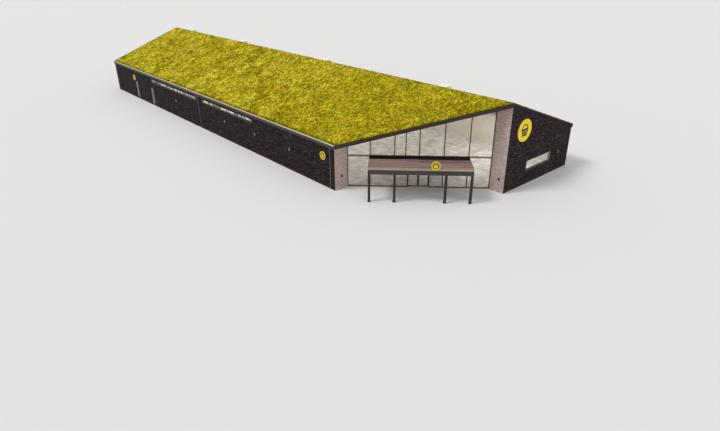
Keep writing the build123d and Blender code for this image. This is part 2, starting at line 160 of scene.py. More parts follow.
@dataclass
class Mould:
    """A growing set of shapes that becomes one mesh, with one tone from 0 to 1 per point."""

    points: list[Array] = field(default_factory=list)
    loops: list[Array] = field(default_factory=list)
    sizes: list[Array] = field(default_factory=list)
    tones: list[Array] = field(default_factory=list)
    count: int = 0

    def add(self, shape: Shape, face: Face | None = None, tone: Array | float = 0.5) -> "Mould":
        """Adds a shape.

        Args:
            shape: Points, (n, 3), and arrays, (m, k), with the point numbers of m faces with k
                corners.
            face: Upright face on which the points are measured, if they are.
            tone: One number for all the points, or one for each.

        Returns:
            The mould itself.
        """
        points, blocks = shape
        for block in blocks:
            block = np.atleast_2d(np.asarray(block, dtype=np.int64))
            self.loops.append((block + self.count).ravel())
            self.sizes.append(np.full(len(block), block.shape[1], dtype=np.int64))
        self.points.append(face.place(points) if face else points)
        self.tones.append(np.broadcast_to(np.asarray(tone, dtype=float), (len(points),)))
        self.count += len(points)
        return self

    def build(self, name: str, slot: Slot, finish: "Finish", smooth_angle: float = 35.0,
              body: Body = Body.BUILDING) -> bpy.types.Object:
        """Makes the mesh object, dresses it and lets it ride on its body.

        Args:
            name: Name of the piece.
            slot: Material slot of the record; not used.
            finish: Finish of the surface.
            smooth_angle: Edges that turn less than this many degrees are shaded smooth.
            body: CAD body that it moves with.

        Returns:
            The new object.
        """
        points, loops, sizes = (np.concatenate(a) for a in (self.points, self.loops, self.sizes))
        mesh = bpy.data.meshes.new(name)
        mesh.vertices.add(len(points))
        mesh.vertices.foreach_set("co", points.astype(np.float32).ravel())
        mesh.loops.add(len(loops))
        mesh.loops.foreach_set("vertex_index", loops.astype(np.int32))
        mesh.polygons.add(len(sizes))
        starts = np.concatenate([[0], np.cumsum(sizes)[:-1]])
        mesh.polygons.foreach_set("loop_start", starts.astype(np.int32))
        mesh.update(calc_edges=True)
        tone = mesh.attributes.new("tone", "FLOAT", "POINT")
        tone.data.foreach_set("value", np.concatenate(self.tones).astype(np.float32))
        mesh.shade_smooth()
        mesh.set_sharp_from_angle(angle=math.radians(smooth_angle))
        mesh.materials.append(finish.material())
        piece = linked(name, mesh)
        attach(piece, body.value)
        log.info("%s: %d points, %d triangles", name, len(points), int(np.sum(sizes - 2)))
        return piece


def chamfer_pattern() -> tuple[Array, Array, Array, Array]:
    """Works out the corners and faces of one box with chamfered edges.

    Corner (i, j, k) has three points: the one of axis a lies on the box's side there, and is
    drawn in by the chamfer along the two other axes.

    Returns:
        Side of each point (24, 3) as 0 or 1, whether it is drawn in (24, 3), the quads and the
        triangles, all turned outwards.
    """
    corners = np.array([(i, j, k) for i in (0, 1) for j in (0, 1) for k in (0, 1)])
    side = np.repeat(corners, 3, axis=0)
    drawn = 1 - np.tile(np.eye(3, dtype=int), (8, 1))
    place = (side * 2 - 1) * (1 - 0.2 * drawn)

    def find(corner: dict[int, int], axis: int) -> int:
        """Number of the point of a corner on the box's side square to an axis."""
        return (4 * corner[0] + 2 * corner[1] + corner[2]) * 3 + axis

    def outwards(faces: Array) -> Array:
        """Turns each face so that its normal points away from the middle."""
        a, b, c = (place[faces[:, i]] for i in range(3))
        out = np.sum(np.cross(b - a, c - b) * place[faces].mean(axis=1), axis=1) > 0
        return np.where(out[:, None], faces, faces[:, ::-1])

    quads: list[list[int]] = []
    for axis in range(3):
        u, v = (axis + 1) % 3, (axis + 2) % 3
        quads += [[find({axis: s, u: i, v: j}, axis) for i, j in ((0, 0), (1, 0), (1, 1), (0, 1))]
                  for s in (0, 1)]
        quads += [[find({axis: s, u: i, v: j}, a) for s, a in ((0, u), (0, v), (1, v), (1, u))]
                  for i, j in ((0, 0), (0, 1), (1, 0), (1, 1))]
    return side, drawn, outwards(np.array(quads)), outwards(np.arange(24).reshape(8, 3))


BOX_SIDE, BOX_DRAWN, BOX_QUADS, BOX_TRIANGLES = chamfer_pattern()
BRICK_QUADS = np.array([[0, 1, 2, 3], [5, 4, 7, 6], [0, 4, 5, 1], [3, 2, 6, 7], [0, 3, 7, 4], [1, 5, 6, 2]])


def copied(pattern: Array, copies: int, points: int) -> Array:
    """Faces of one shape repeated for copies that have so many points each."""
    return (pattern[None] + (np.arange(copies) * points)[:, None, None]).reshape(-1, pattern.shape[1])


def chamfered(low: Array | Sequence, high: Array | Sequence, chamfer: float) -> Shape:
    """Boxes with chamfered edges: side + direction inwards * chamfer, for whole arrays of boxes.

    Args:
        low: Lowest corners, (n, 3) or one.
        high: Highest corners.
        chamfer: Width by which each edge is cut back.

    Returns:
        Points, 24 for each box, and the faces over them.
    """
    low, high = np.atleast_2d(low), np.atleast_2d(high)
    corner = low[:, None, :] + (high - low)[:, None, :] * BOX_SIDE[None]
    corner = corner + (1 - 2 * BOX_SIDE[None]) * BOX_DRAWN[None] * chamfer
    return corner.reshape(-1, 3), [copied(faces, len(low), 24) for faces in (BOX_QUADS, BOX_TRIANGLES)]


def carried(stations: Array, closed: bool = False) -> Shape:
    """A closed profile carried along a path, from the ring of points at each of its stations.

    Args:
        stations: Rings of points against the clock about the path, (rings, points, 3).
        closed: Whether the last ring joins the first. If not, both ends get a flat face.

    Returns:
        Points and faces.
    """
    rings, count = stations.shape[:2]
    i, j = np.meshgrid(np.arange(rings if closed else rings - 1), np.arange(count), indexing="ij")
    i2, j2 = (i + 1) % rings, (j + 1) % count
    quads = np.stack([i * count + j, i * count + j2, i2 * count + j2, i2 * count + j], axis=-1)
    ring = np.arange(count)
    ends = [] if closed else [ring[::-1][None], (ring + (rings - 1) * count)[None]]
    return stations.reshape(-1, 3), [quads.reshape(-1, 4), *ends]


def lifted(outlines: Sequence[Array], places: Sequence[float], axis: int) -> Array:
    """Rings of points: each outline's two columns with its place put in as coordinate number axis."""
    return np.stack([np.insert(outline, axis, place, axis=1) for outline, place in zip(outlines, places)])


def circle(corners: int, radius: float = 1.0, middle: tuple[float, float] = (0.0, 0.0)) -> Array:
    """Corners of a round outline against the clock: middle + radius * (cos a, sin a)."""
    angle = np.arange(corners) * 2 * math.pi / corners
    return radius * np.column_stack([np.cos(angle), np.sin(angle)]) + middle


def turned(profile: Profile | Array, sides: int, middle: tuple[float, float], axis: int) -> Shape:
    """A closed profile turned round an axis through a middle.

    Args:
        profile: Radius of each point and its place along the axis, none on the axis.
        sides: Number of copies round the axis.
        middle: The two coordinates of the axis.
        axis: Number of the coordinate that runs along it.

    Returns:
        Points and quads.
    """
    rings = lifted([circle(sides, radius, middle) for radius, _ in profile], [p for _, p in profile], axis)
    return carried(rings.transpose(1, 0, 2), closed=True)


def rectangle(x0: float, x1: float, z0: float, z1: float) -> Array:
    """Corners of an upright rectangle against the clock, (4, 2)."""
    return np.array([(x0, z0), (x1, z0), (x1, z1), (x0, z1)])


def inset_outline(outline: Array, width: float) -> Array:
    """Moves each side of a convex outline inwards: corner + width * (n1 + n2) / (1 + n1 . n2).

    Args:
        outline: Corners against the clock, (n, 2).
        width: Distance.

    Returns:
        Corners of the smaller outline.
    """
    step = np.roll(outline, -1, axis=0) - outline
    step = step / np.linalg.norm(step, axis=1, keepdims=True)
    normal = np.stack([-step[:, 1], step[:, 0]], axis=1)
    before = np.roll(normal, 1, axis=0)
    return outline + width * (before + normal) / (1 + np.sum(before * normal, axis=1, keepdims=True))


@dataclass(frozen=True)
class Beading:
    """Mitred strips round a pane, in front of it and behind it."""

    width: float
    depth: float
    pane: float = 0.012

    def lay(self, mould: Mould, face: Face, outline: Array, near: float) -> None:
        """Lays both strips.

        Args:
            mould: Mesh that they go into.
            face: Face of the wall.
            outline: The pane's corners in x and z, against the clock.
            near: Depth of the pane's outer side.
        """
        inner = inset_outline(outline, self.width)
        far = near + self.pane
        for y0, y1 in ((near - self.depth, near), (far, far + self.depth)):
            rings = lifted([outline, inner, inner, outline], [y0, y0, y1, y1], 1)
            mould.add(carried(rings[::-1].transpose(1, 0, 2), closed=True), face)


def hashed(ix: Array, iy: Array, salt: int) -> Array:
    """A repeatable random number from 0 to 1 for each whole-number cell.

    The cell's two numbers are mixed by large odd factors and the fraction of a sine is kept.
    """
    mixed = np.sin(ix * 127.1 + iy * 311.7 + salt * 74.7) * 43758.5453
    return mixed - np.floor(mixed)


def cushions(x: Array, y: Array, size: float, salt: int) -> tuple[Array, Array]:
    """Rounded clumps: one centre in every cell, height 1 - (distance / size) squared.

    Args:
        x: First coordinates.
        y: Second coordinates.
        size: Width of a cell.
        salt: Number that sets this layer apart from others.

    Returns:
        Height from 0 to 1, and a random tone of the nearest clump.
    """
    u, v = x / size, y / size
    iu, iv = np.floor(u), np.floor(v)
    nearest = np.full(x.shape, 9.0)
    tone = np.zeros(x.shape)
    for du in (-1, 0, 1):
        for dv in (-1, 0, 1):
            cu, cv = iu + du, iv + dv
            px = cu + 0.15 + 0.7 * hashed(cu, cv, salt)
            py = cv + 0.15 + 0.7 * hashed(cu, cv, salt + 1)
            distance = np.hypot(u - px, v - py)
            closer = distance < nearest
            nearest = np.where(closer, distance, nearest)
            tone = np.where(closer, hashed(cu, cv, salt + 2), tone)
    return np.clip(1 - nearest ** 2, 0, 1), tone


def waves(x: Array, y: Array, size: float, salt: int) -> Array:
    """Smooth value noise from 0 to 1: random cell corners blended with 3 t^2 - 2 t^3."""
    u, v = x / size, y / size
    iu, iv = np.floor(u), np.floor(v)
    fu, fv = u - iu, v - iv
    su, sv = fu * fu * (3 - 2 * fu), fv * fv * (3 - 2 * fv)
    low, high = (hashed(iu, row, salt) * (1 - su) + hashed(iu + 1, row, salt) * su for row in (iv, iv + 1))
    return low * (1 - sv) + high * sv


# Finishes


class Graph:
    """Adds nodes to a node tree, sets their inputs and links them."""

    def __init__(self, tree: bpy.types.NodeTree) -> None:
        """Keeps the tree that the nodes go into."""
        self.tree = tree

    def feed(self, socket: Socket, value: object) -> None:
        """Links a socket into an input, or sets the input's own value."""
        if isinstance(value, bpy.types.NodeSocket):
            self.tree.links.new(value, socket)
        elif socket.type == "RGBA" and len(value) == 3:
            socket.default_value = (*value, 1.0)
        else:
            socket.default_value = value

    def add(self, kind: str, inputs: Inputs | None = None, **settings: object) -> bpy.types.Node:
        """Adds a node.

        Args:
            kind: Type of the node.
            inputs: Values or sockets for its inputs, by name or number.
            settings: Values for its properties.

        Returns:
            The node.
        """
        node = self.tree.nodes.new(kind)
        for key, value in settings.items():
            setattr(node, key, value)
        for key, value in (inputs or {}).items():
            self.feed(node.inputs[key], value)
        return node

    def coordinates(self) -> Socket:
        """Object coordinates, which are the model's own because every piece sits at the origin."""
        return self.add("ShaderNodeTexCoord").outputs["Object"]

    def facing(self, axis: str, sign: float = 1.0) -> Socket:
        """1 where the surface's own normal looks along an axis, 0 elsewhere."""
        normal = self.add("ShaderNodeTexCoord").outputs["Normal"]
        return self.math("GREATER_THAN", self.times(self.part(normal, axis), sign), 0.5)

    def mapping(self, vector: Socket, scale: Sequence[float] = (1, 1, 1), turn: float = 0.0) -> Socket:
        """Turns coordinates about Z by an angle in degrees, then stretches them."""
        angles = (0, 0, math.radians(turn))
        rotated = self.add("ShaderNodeMapping", {"Vector": vector, "Rotation": angles}).outputs[0]
        return self.add("ShaderNodeMapping", {"Vector": rotated, "Scale": tuple(scale)}).outputs[0]

    def cloud(self, vector: Socket, scale: object, detail: float, roughness: float) -> bpy.types.Node:
        """A noise node, with a number and a colour as its outputs."""
        return self.add("ShaderNodeTexNoise", {"Vector": vector, "Scale": scale, "Detail": detail,
                                               "Roughness": roughness})

    def noise(self, vector: Socket, scale: object, detail: float = 3.0, roughness: float = 0.55) -> Socket:
        """Noise from 0 to 1."""
        return self.cloud(vector, scale, detail, roughness).outputs[0]

    def cells(self, vector: Socket, scale: object, feature: str = "F1") -> Socket:
        """Distance to the nearest cell point."""
        node = self.add("ShaderNodeTexVoronoi", {"Vector": vector, "Scale": scale}, feature=feature)
        return node.outputs[0]

    def patches(self, vector: Socket, scale: float, reach: float) -> Socket:
        """A random number from -reach to reach for each cell."""
        node = self.add("ShaderNodeTexVoronoi", {"Vector": vector, "Scale": scale})
        return self.span(self.part(node.outputs["Color"], "X"), 0.0, 1.0, -reach, reach)

    def blend(self, operation: str, *vectors: object) -> Socket:
        """One sum on vectors or colours."""
        return self.add("ShaderNodeVectorMath", dict(enumerate(vectors)), operation=operation).outputs[0]

    def ragged(self, vector: Socket, scale: float, reach: float) -> Socket:
        """Coordinates pushed about by noise, so that cells on them get ragged outlines."""
        push = self.blend("SUBTRACT", self.cloud(vector, scale, 4.0, 0.65).outputs["Color"], (0.5, 0.5, 0.5))
        return self.blend("MULTIPLY_ADD", push, (reach, reach, reach), vector)

    def math(self, operation: str, a: object, b: object = 0.0, clamp: bool = False) -> Socket:
        """One sum on two numbers."""
        return self.add("ShaderNodeMath", {0: a, 1: b}, operation=operation, use_clamp=clamp).outputs[0]

    def plus(self, a: object, b: object, clamp: bool = False) -> Socket:
        """The sum of two numbers."""
        return self.math("ADD", a, b, clamp)

    def times(self, a: object, b: object, clamp: bool = False) -> Socket:
        """The product of two numbers."""
        return self.math("MULTIPLY", a, b, clamp)

    def span(self, value: Socket, low: float, high: float, start: float = 0.0, end: float = 1.0) -> Socket:
        """Maps low to high onto start to end, held within them."""
        return self.add("ShaderNodeMapRange", {"Value": value, "From Min": low, "From Max": high,
                                               "To Min": start, "To Max": end}).outputs[0]

    def mix(self, factor: object, a: object, b: object) -> Socket:
        """Blends two colours."""
        return self.add("ShaderNodeMix", {0: factor, 6: a, 7: b}, data_type="RGBA").outputs[2]

    def ramp(self, value: Socket, *stops: tuple[float, Colour]) -> Socket:
        """Colours along a scale.

        Args:
            value: Place on the scale, from 0 to 1.
            stops: Places with their colours.

        Returns:
            The colour there.
        """
        node = self.add("ShaderNodeValToRGB", {0: value})
        elements = node.color_ramp.elements
        while len(elements) < len(stops):
            elements.new(0.5)
        for element, (place, colour) in zip(elements, stops):
            element.position = place
            element.color = (*colour, 1.0)
        return node.outputs[0]

    def part(self, vector: Socket, axis: str) -> Socket:
        """One coordinate of a vector."""
        return self.add("ShaderNodeSeparateXYZ", {0: vector}).outputs[axis]

    def bump(self, height: Socket, distance: float) -> Socket:
        """Normal of a surface with a small relief."""
        return self.add("ShaderNodeBump", {"Height": height, "Distance": distance}).outputs[0]

    def tone(self) -> Socket:
        """The tone that the mesh carries for each point."""
        return self.add("ShaderNodeAttribute", attribute_name="tone").outputs["Fac"]


@dataclass(frozen=True)
class Effect:
    """A node group that several finishes use, made when it is first placed."""

    name: str
    inputs: tuple[str, ...]
    outputs: tuple[str, ...]

    def fill(self, g: Graph, vector: Socket, *sizes: Socket) -> tuple[Socket, ...]:
        """Works out the outputs, all from 0 to 1, from the coordinates and the other inputs."""
        raise NotImplementedError

    def make(self) -> bpy.types.NodeTree:
        """Makes the group's sockets and what lies between them."""
        tree = bpy.data.node_groups.new(self.name, "ShaderNodeTree")
        tree.interface.new_socket(name="Vector", in_out="INPUT", socket_type="NodeSocketVector")
        for side, labels in (("INPUT", self.inputs), ("OUTPUT", self.outputs)):
            for label in labels:
                tree.interface.new_socket(name=label, in_out=side, socket_type="NodeSocketFloat")
        g = Graph(tree)
        start, end = g.add("NodeGroupInput"), g.add("NodeGroupOutput")
        values = self.fill(g, *(start.outputs[label] for label in ("Vector", *self.inputs)))
        for label, value in zip(self.outputs, values):
            g.feed(end.inputs[label], value)
        return tree

    def on(self, g: Graph, vector: Socket, *sizes: float) -> list[Socket]:
        """Places the group in a graph with its own sizes, and gives its outputs."""
        node = g.add("ShaderNodeGroup", node_tree=bpy.data.node_groups.get(self.name) or self.make())
        for socket, value in zip(node.inputs, (vector, *sizes)):
            g.feed(socket, value)
        return list(node.outputs)


class Weather(Effect):
    """Rain streaks, soft patches of a scale and dirt splashed up to a height in metres."""

    def fill(self, g: Graph, vector: Socket, *sizes: Socket) -> tuple[Socket, ...]:
        """Dirt is the larger of the splashes and the streaks within the patches."""
        patch, splash = sizes
        patches = g.noise(vector, patch, 4.0, 0.6)
        streaks = g.noise(g.mapping(vector, (9.0, 9.0, 0.35)), 1.0, 3.0, 0.6)
        low = g.math("SUBTRACT", 1.0, g.math("DIVIDE", g.part(vector, "Z"), splash), clamp=True)
        splashes = g.times(low, g.span(g.noise(vector, 6.0, 4.0), 0.3, 0.7), clamp=True)
        runs = g.times(g.span(streaks, 0.5, 0.75), g.span(patches, 0.35, 0.65))
        return g.math("MAXIMUM", runs, splashes), g.span(patches, 0.3, 0.7)


class Grain(Effect):
    """Fine grain of a cast, rolled or fired surface."""

    def fill(self, g: Graph, vector: Socket, *sizes: Socket) -> tuple[Socket, ...]:
        """Height is noise with small pits, and specks are the peaks of a finer noise."""
        coarse = g.noise(vector, sizes[0], 5.0, 0.65)
        pits = g.cells(vector, g.times(sizes[0], 1.7))
        return (g.plus(g.times(coarse, 0.7), g.times(pits, 0.3)),
                g.span(g.noise(vector, 420.0, 2.0), 0.58, 0.7))


class Wood(Effect):
    """Grain of a sawn board whose length runs along the vector's X."""

    def fill(self, g: Graph, vector: Socket, *sizes: Socket) -> tuple[Socket, ...]:
        """Rings are the fraction of stretched noise, and pores are fine fibres along the board."""
        stretched = g.mapping(vector, (0.06, 1.0, 1.0))
        drift = g.noise(stretched, 3.0, 2.0)
        rings = g.noise(stretched, sizes[0], 6.0, 0.6)
        banded = g.math("FRACT", g.plus(g.times(rings, 4.0), drift))
        fibres = g.noise(g.mapping(vector, (4.0, 260.0, 260.0)), 1.0, 2.0)
        return g.plus(g.times(banded, 0.5), g.times(rings, 0.5)), g.span(fibres, 0.45, 0.7)


WEATHER = Weather("weather", ("Patch", "Splash"), ("Dirt", "Patches"))
GRAIN = Grain("grain", ("Scale",), ("Height", "Specks"))
WOOD = Wood("wood", ("Scale",), ("Rings", "Pores"))
MATT = 0.1


def shaded(colour: Colour, factor: float, lift: float = 0.0) -> Colour:
    """A colour times a factor, plus a lift."""
    return tuple(factor * c + lift for c in colour)


@dataclass(frozen=True)
class Finish:
    """A named surface finish that makes its material once."""

    name: str

    def material(self) -> bpy.types.Material:
        """Makes the material, or finds it if it is there already."""
        found = bpy.data.materials.get(self.name)
        if found is not None:
            return found
        made = bpy.data.materials.new(self.name)
        made.use_nodes = True
        made.node_tree.nodes.clear()
        g = Graph(made.node_tree)
        shader = g.add("ShaderNodeBsdfPrincipled", self.paint(g))
        g.add("ShaderNodeOutputMaterial", {0: shader.outputs[0]})
        return made

    def paint(self, g: Graph) -> Inputs:
        """Works out the shader's inputs."""
        raise NotImplementedError

    def dress(self, *nodes: str) -> None:
        """Gives this finish to CAD nodes."""
        for name in nodes:
            for slot in frame["nodes"][name].material_slots:
                slot.material = self.material()


@dataclass(frozen=True)
class Brick(Finish):
    """Fired bricks whose own tone comes from the mesh."""

    dark: Colour
    middle: Colour
    light: Colour
    soil: Colour

    def paint(self, g: Graph) -> Inputs:
        """Kiln tones, grain, sooty patches and splashed dirt."""
        where = g.coordinates()
        dirt, patches = WEATHER.on(g, where, 0.8, 0.22)
        height, _ = GRAIN.on(g, where, 70.0)
        tone = g.plus(g.tone(), g.span(height, 0.2, 0.8, -0.12, 0.12))
        colour = g.ramp(tone, (0.0, self.dark), (0.55, self.middle), (1.0, self.light))
        colour = g.mix(g.span(patches, 0.0, 1.0, 0.0, 0.35), colour, self.dark)
        return {"Base Color": g.mix(g.times(dirt, 0.3), colour, self.soil), "Specular IOR Level": MATT,
                "Roughness": g.span(height, 0.2, 0.8, 0.72, 0.95), "Normal": g.bump(height, 0.0012)}


class Inward(Enum):
    """Direction in which a wall's inner face looks, as an axis and a sign."""

    RIGHT = ("X", 1.0)
    LEFT = ("X", -1.0)
    BACK = ("Y", 1.0)
    FRONT = ("Y", -1.0)


@dataclass(frozen=True)
class Masonry(Finish):
    """Mortar on the outside of a wall and pale paint on its inner face, which its normal tells."""

    mortar: Colour
    inward: Inward
    plaster: Colour = (0.72, 0.67, 0.595)

    def paint(self, g: Graph) -> Inputs:
        """Sandy mortar with sooty patches outside, rolled paint inside."""
        where = g.coordinates()
        _, patches = WEATHER.on(g, where, 1.1, 0.2)
        height, specks = GRAIN.on(g, where, 110.0)
        sandy = g.mix(g.span(height, 0.25, 0.75), shaded(self.mortar, 0.65), self.mortar)
        outside = g.mix(g.times(patches, 0.3), sandy, shaded(self.mortar, 0.5))
        rolled = g.mix(g.span(g.noise(where, 2.5), 0.35, 0.65), self.plaster, shaded(self.plaster, 0.93))
        return {"Base Color": g.mix(g.facing(*self.inward.value), outside, rolled),
                "Roughness": g.span(specks, 0.0, 1.0, 0.93, 0.82), "Specular IOR Level": MATT,
                "Normal": g.bump(height, 0.0008)}


@dataclass(frozen=True)
class Coating(Finish):
    """Powder-coated or painted sheet metal."""

    colour: Colour
    faded: Colour
    roughness: float
    metallic: float = 0.0
    scale: float = 2.0
    sheen: float = 0.5

    def paint(self, g: Graph) -> Inputs:
        """Uneven fading, rain marks and a faint orange-peel texture."""
        where = g.coordinates()
        dirt, patches = WEATHER.on(g, where, self.scale, 0.15)
        height, specks = GRAIN.on(g, where, 260.0)
        colour = g.mix(patches, self.colour, self.faded)
        rough = g.plus(g.span(dirt, 0.0, 1.0, self.roughness, self.roughness + 0.18),
                       g.span(specks, 0.0, 1.0, 0.0, 0.06))
        return {"Base Color": g.mix(g.times(dirt, 0.25), colour, shaded(self.faded, 0.7, 0.04)),
                "Metallic": self.metallic, "Specular IOR Level": self.sheen, "Roughness": rough,
                "Normal": g.bump(height, 0.0003)}


@dataclass(frozen=True)
class Timber(Finish):
    """Sawn or glued wood, with its grain along one direction in plan."""

    dark: Colour
    light: Colour
    turn: float
    roughness: float = 0.55
    per_board: float = 0.0

    def paint(self, g: Graph) -> Inputs:
        """Year rings, pores and, where the mesh carries it, a tone for each board."""
        rings, pores = WOOD.on(g, g.mapping(g.coordinates(), turn=self.turn), 9.0)
        dirt, _ = WEATHER.on(g, g.coordinates(), 1.6, 0.1)
        tone = g.plus(rings, g.times(g.math("SUBTRACT", g.tone(), 0.5), self.per_board))
        colour = g.mix(g.span(tone, 0.15, 0.85), self.dark, self.light)
        colour = g.mix(g.times(pores, 0.3), colour, shaded(self.dark, 0.6))
        return {"Base Color": g.mix(g.times(dirt, 0.25), colour, shaded(self.light, 0.5, 0.08)),
                "Roughness": g.span(pores, 0.0, 1.0, self.roughness, self.roughness + 0.2),
                "Normal": g.bump(rings, 0.0006)}


@dataclass(frozen=True)
class Stonecrop(Finish):
    """Low yellow-green planting, with the clumps' tone from the mesh."""

    shadow: Colour = (0.085, 0.062, 0.0)
    olive: Colour = (0.235, 0.188, 0.002)
    yellow: Colour = (0.42, 0.35, 0.008)
    flower: Colour = (0.76, 0.67, 0.060)
    stem: Colour = (0.17, 0.095, 0.004)
    cool: Colour = (0.95, 1.02, 1.05)
    warm: Colour = (1.06, 0.98, 1.0)

    def paint(self, g: Graph) -> Inputs:
        """Clumps, shoots and leaves by sizes of ragged cells, with patches of browner and greener kinds.

        The soft drift and the clumps get stronger along the roof, from its front to its middle.
        """
        where = g.coordinates()
        ragged = g.ragged(where, 20.0, 0.13)
        leaves = g.plus(g.times(g.cells(ragged, 20.0), 0.65), g.times(g.cells(where, 66.0), 0.35))
        plants, shoots, clumps = (g.patches(ragged, scale, reach)
                                  for scale, reach in ((12.0, 0.26), (26.0, 0.25), (6.0, 0.24)))
        along = g.span(g.part(where, "Y"), -13.0, 2.0)
        drift = g.times(g.span(g.noise(where, 1.0, 3.0, 0.55), 0.3, 0.7, -0.13, 0.13), g.plus(along, 0.55))
        drift = g.plus(drift, g.times(along, g.plus(clumps, 0.085)))
        tone = g.plus(g.tone(), g.plus(drift, g.plus(plants, shoots)))
        # Leaf centres are lifted and the gaps between leaves darkened: painted light and shade on the clumps.
        tone = g.math("SUBTRACT", tone, g.span(leaves, 0.1, 0.7, -0.10, 0.22))
        colour = g.ramp(tone, (0.0, self.shadow), (0.35, self.olive), (0.65, self.yellow),
                        (1.0, self.flower))
        stems = g.times(g.span(g.noise(where, 5.0, 3.0), 0.55, 0.75), g.span(leaves, 0.3, 0.6))
        colour = g.mix(g.times(stems, 0.3), colour, self.stem)
        kinds = g.ramp(g.noise(where, 1.5, 3.0, 0.6), (0.35, self.cool), (0.65, self.warm))
        return {"Base Color": g.blend("MULTIPLY", colour, kinds), "Specular IOR Level": 0.03,
                "Roughness": g.span(leaves, 0.1, 0.6, 0.75, 0.95),
                "Normal": g.bump(g.times(leaves, -1.0), 0.018)}


@dataclass(frozen=True)
class Glazing(Finish):
    """Clear glass with a faint green body."""

    tint: Colour = (0.955, 0.965, 0.96)

    def body(self, g: Graph, where: Socket, marks: Socket) -> Socket:
        """Colour of the glass, a little deeper under the marks."""
        return g.mix(g.span(marks, 0.4, 0.7), self.tint, shaded(self.tint, 0.97))

    def paint(self, g: Graph) -> Inputs:
        """Nearly clean panes with faint wiping marks."""
        where = g.coordinates()
        marks = g.noise(g.mapping(where, (1.0, 1.0, 0.5)), 3.0, 4.0, 0.6)
        return {"Base Color": self.body(g, where, marks), "Roughness": g.span(marks, 0.45, 0.8, 0.0, 0.05),
                "IOR": 1.5, "Transmission Weight": 1.0}


@dataclass(frozen=True)
class GlazingWithPaintedReflection(Glazing):
    """Glass whose panes above a level carry painted green reflection of uneven depth."""

    # pale and deep are the light and dark ends of the painted green reflection.
    pale: Colour = (0.90, 0.98, 0.74)
    deep: Colour = (0.10, 0.14, 0.05)
    level: float = 1.36

    def body(self, g: Graph, where: Socket, marks: Socket) -> Socket:
        """The painted reflection's depth drifts along the rows, and low panes stay clear."""
        depth = g.span(g.noise(where, 1.7, 3.0, 0.6), 0.40, 0.56)
        high = g.math("GREATER_THAN", g.part(where, "Z"), self.level)
        return g.mix(high, super().body(g, where, marks), g.mix(depth, self.pale, self.deep))


@dataclass(frozen=True)
class Opal(Finish):
    """Milky acrylic of the rooflight domes."""

    colour: Colour = (0.93, 0.92, 0.80)
    dusty: Colour = (0.78, 0.76, 0.62)

    def paint(self, g: Graph) -> Inputs:
        """A glossy skin with dust on it."""
        dust = g.noise(g.coordinates(), 7.0, 4.0, 0.6)
        return {"Base Color": g.mix(g.span(dust, 0.4, 0.75, 0.0, 0.5), self.colour, self.dusty),
                "Roughness": g.span(dust, 0.3, 0.7, 0.12, 0.4), "Transmission Weight": 0.1,
                "Coat Weight": 0.4, "Normal": g.bump(dust, 0.0005)}


@dataclass(frozen=True)
class Felt(Finish):
    """Mineral-surfaced roofing felt."""

    colour: Colour = (0.007, 0.006, 0.006)
    worn: Colour = (0.019, 0.0165, 0.015)

    def paint(self, g: Graph) -> Inputs:
        """Fine granules, with paler worn patches."""
        where = g.coordinates()
        height, specks = GRAIN.on(g, where, 320.0)
        worn = g.span(g.noise(where, 3.0, 4.0, 0.6), 0.5, 0.8)
        mask = g.math("MAXIMUM", g.times(worn, 0.6), specks)
        return {"Base Color": g.mix(mask, self.colour, self.worn), "Specular IOR Level": MATT,
                "Roughness": g.span(height, 0.2, 0.8, 0.8, 0.97), "Normal": g.bump(height, 0.001)}


@dataclass(frozen=True)
class Enamel(Finish):
    """Smooth gloss enamel with small scuffs."""

    colour: Colour
    scuffed: Colour

    def paint(self, g: Graph) -> Inputs:
        """Slight shifts of colour, fine scuffs and rain marks."""
        where = g.coordinates()
        dirt, patches = WEATHER.on(g, where, 3.5, 0.1)
        edges = g.cells(g.mapping(where, (30.0, 30.0, 6.0)), 1.0, "DISTANCE_TO_EDGE")
        worn = g.plus(g.times(patches, 0.5), g.span(edges, 0.0, 0.03, 0.12, 0.0), clamp=True)
        return {"Base Color": g.mix(worn, self.colour, self.scuffed), "Specular IOR Level": 0.2,
                "Roughness": g.span(dirt, 0.0, 1.0, 0.34, 0.6),
                "Normal": g.bump(g.noise(where, 40.0), 0.0003)}


@dataclass(frozen=True)
class Screed(Finish):
    """Polished floor laid in square tiles, with bare screed at the slab's edges."""

    tile: Colour = (0.81, 0.815, 0.82)
    joint: Colour = (0.20, 0.195, 0.19)
    pitch: float = 0.3
    joint_width: float = 0.004

    def paint(self, g: Graph) -> Inputs:
        """Tiles of two tones, thin joints and traffic marks."""
        where = g.coordinates()
        tiles = g.add("ShaderNodeTexBrick", {"Vector": where, "Scale": 1.0, "Brick Width": self.pitch,
                                             "Row Height": self.pitch, "Mortar Size": self.joint_width,
                                             "Color1": self.tile, "Color2": shaded(self.tile, 0.62),
                                             "Mortar": self.joint}, offset=0.0)
        marks = g.noise(where, 1.3, 5.0, 0.6)
        walked = g.mix(g.span(marks, 0.5, 0.8, 0.0, 0.3), tiles.outputs["Color"], shaded(self.tile, 0.7))
        bare = g.mix(g.span(g.noise(where, 9.0, 4.0), 0.35, 0.65), shaded(self.tile, 0.55),
                     shaded(self.tile, 0.75))
        return {"Base Color": g.mix(g.facing("Z"), bare, walked),
                "Roughness": g.span(marks, 0.3, 0.7, 0.2, 0.42),
                "Normal": g.bump(g.times(tiles.outputs["Fac"], -1.0), 0.0008)}


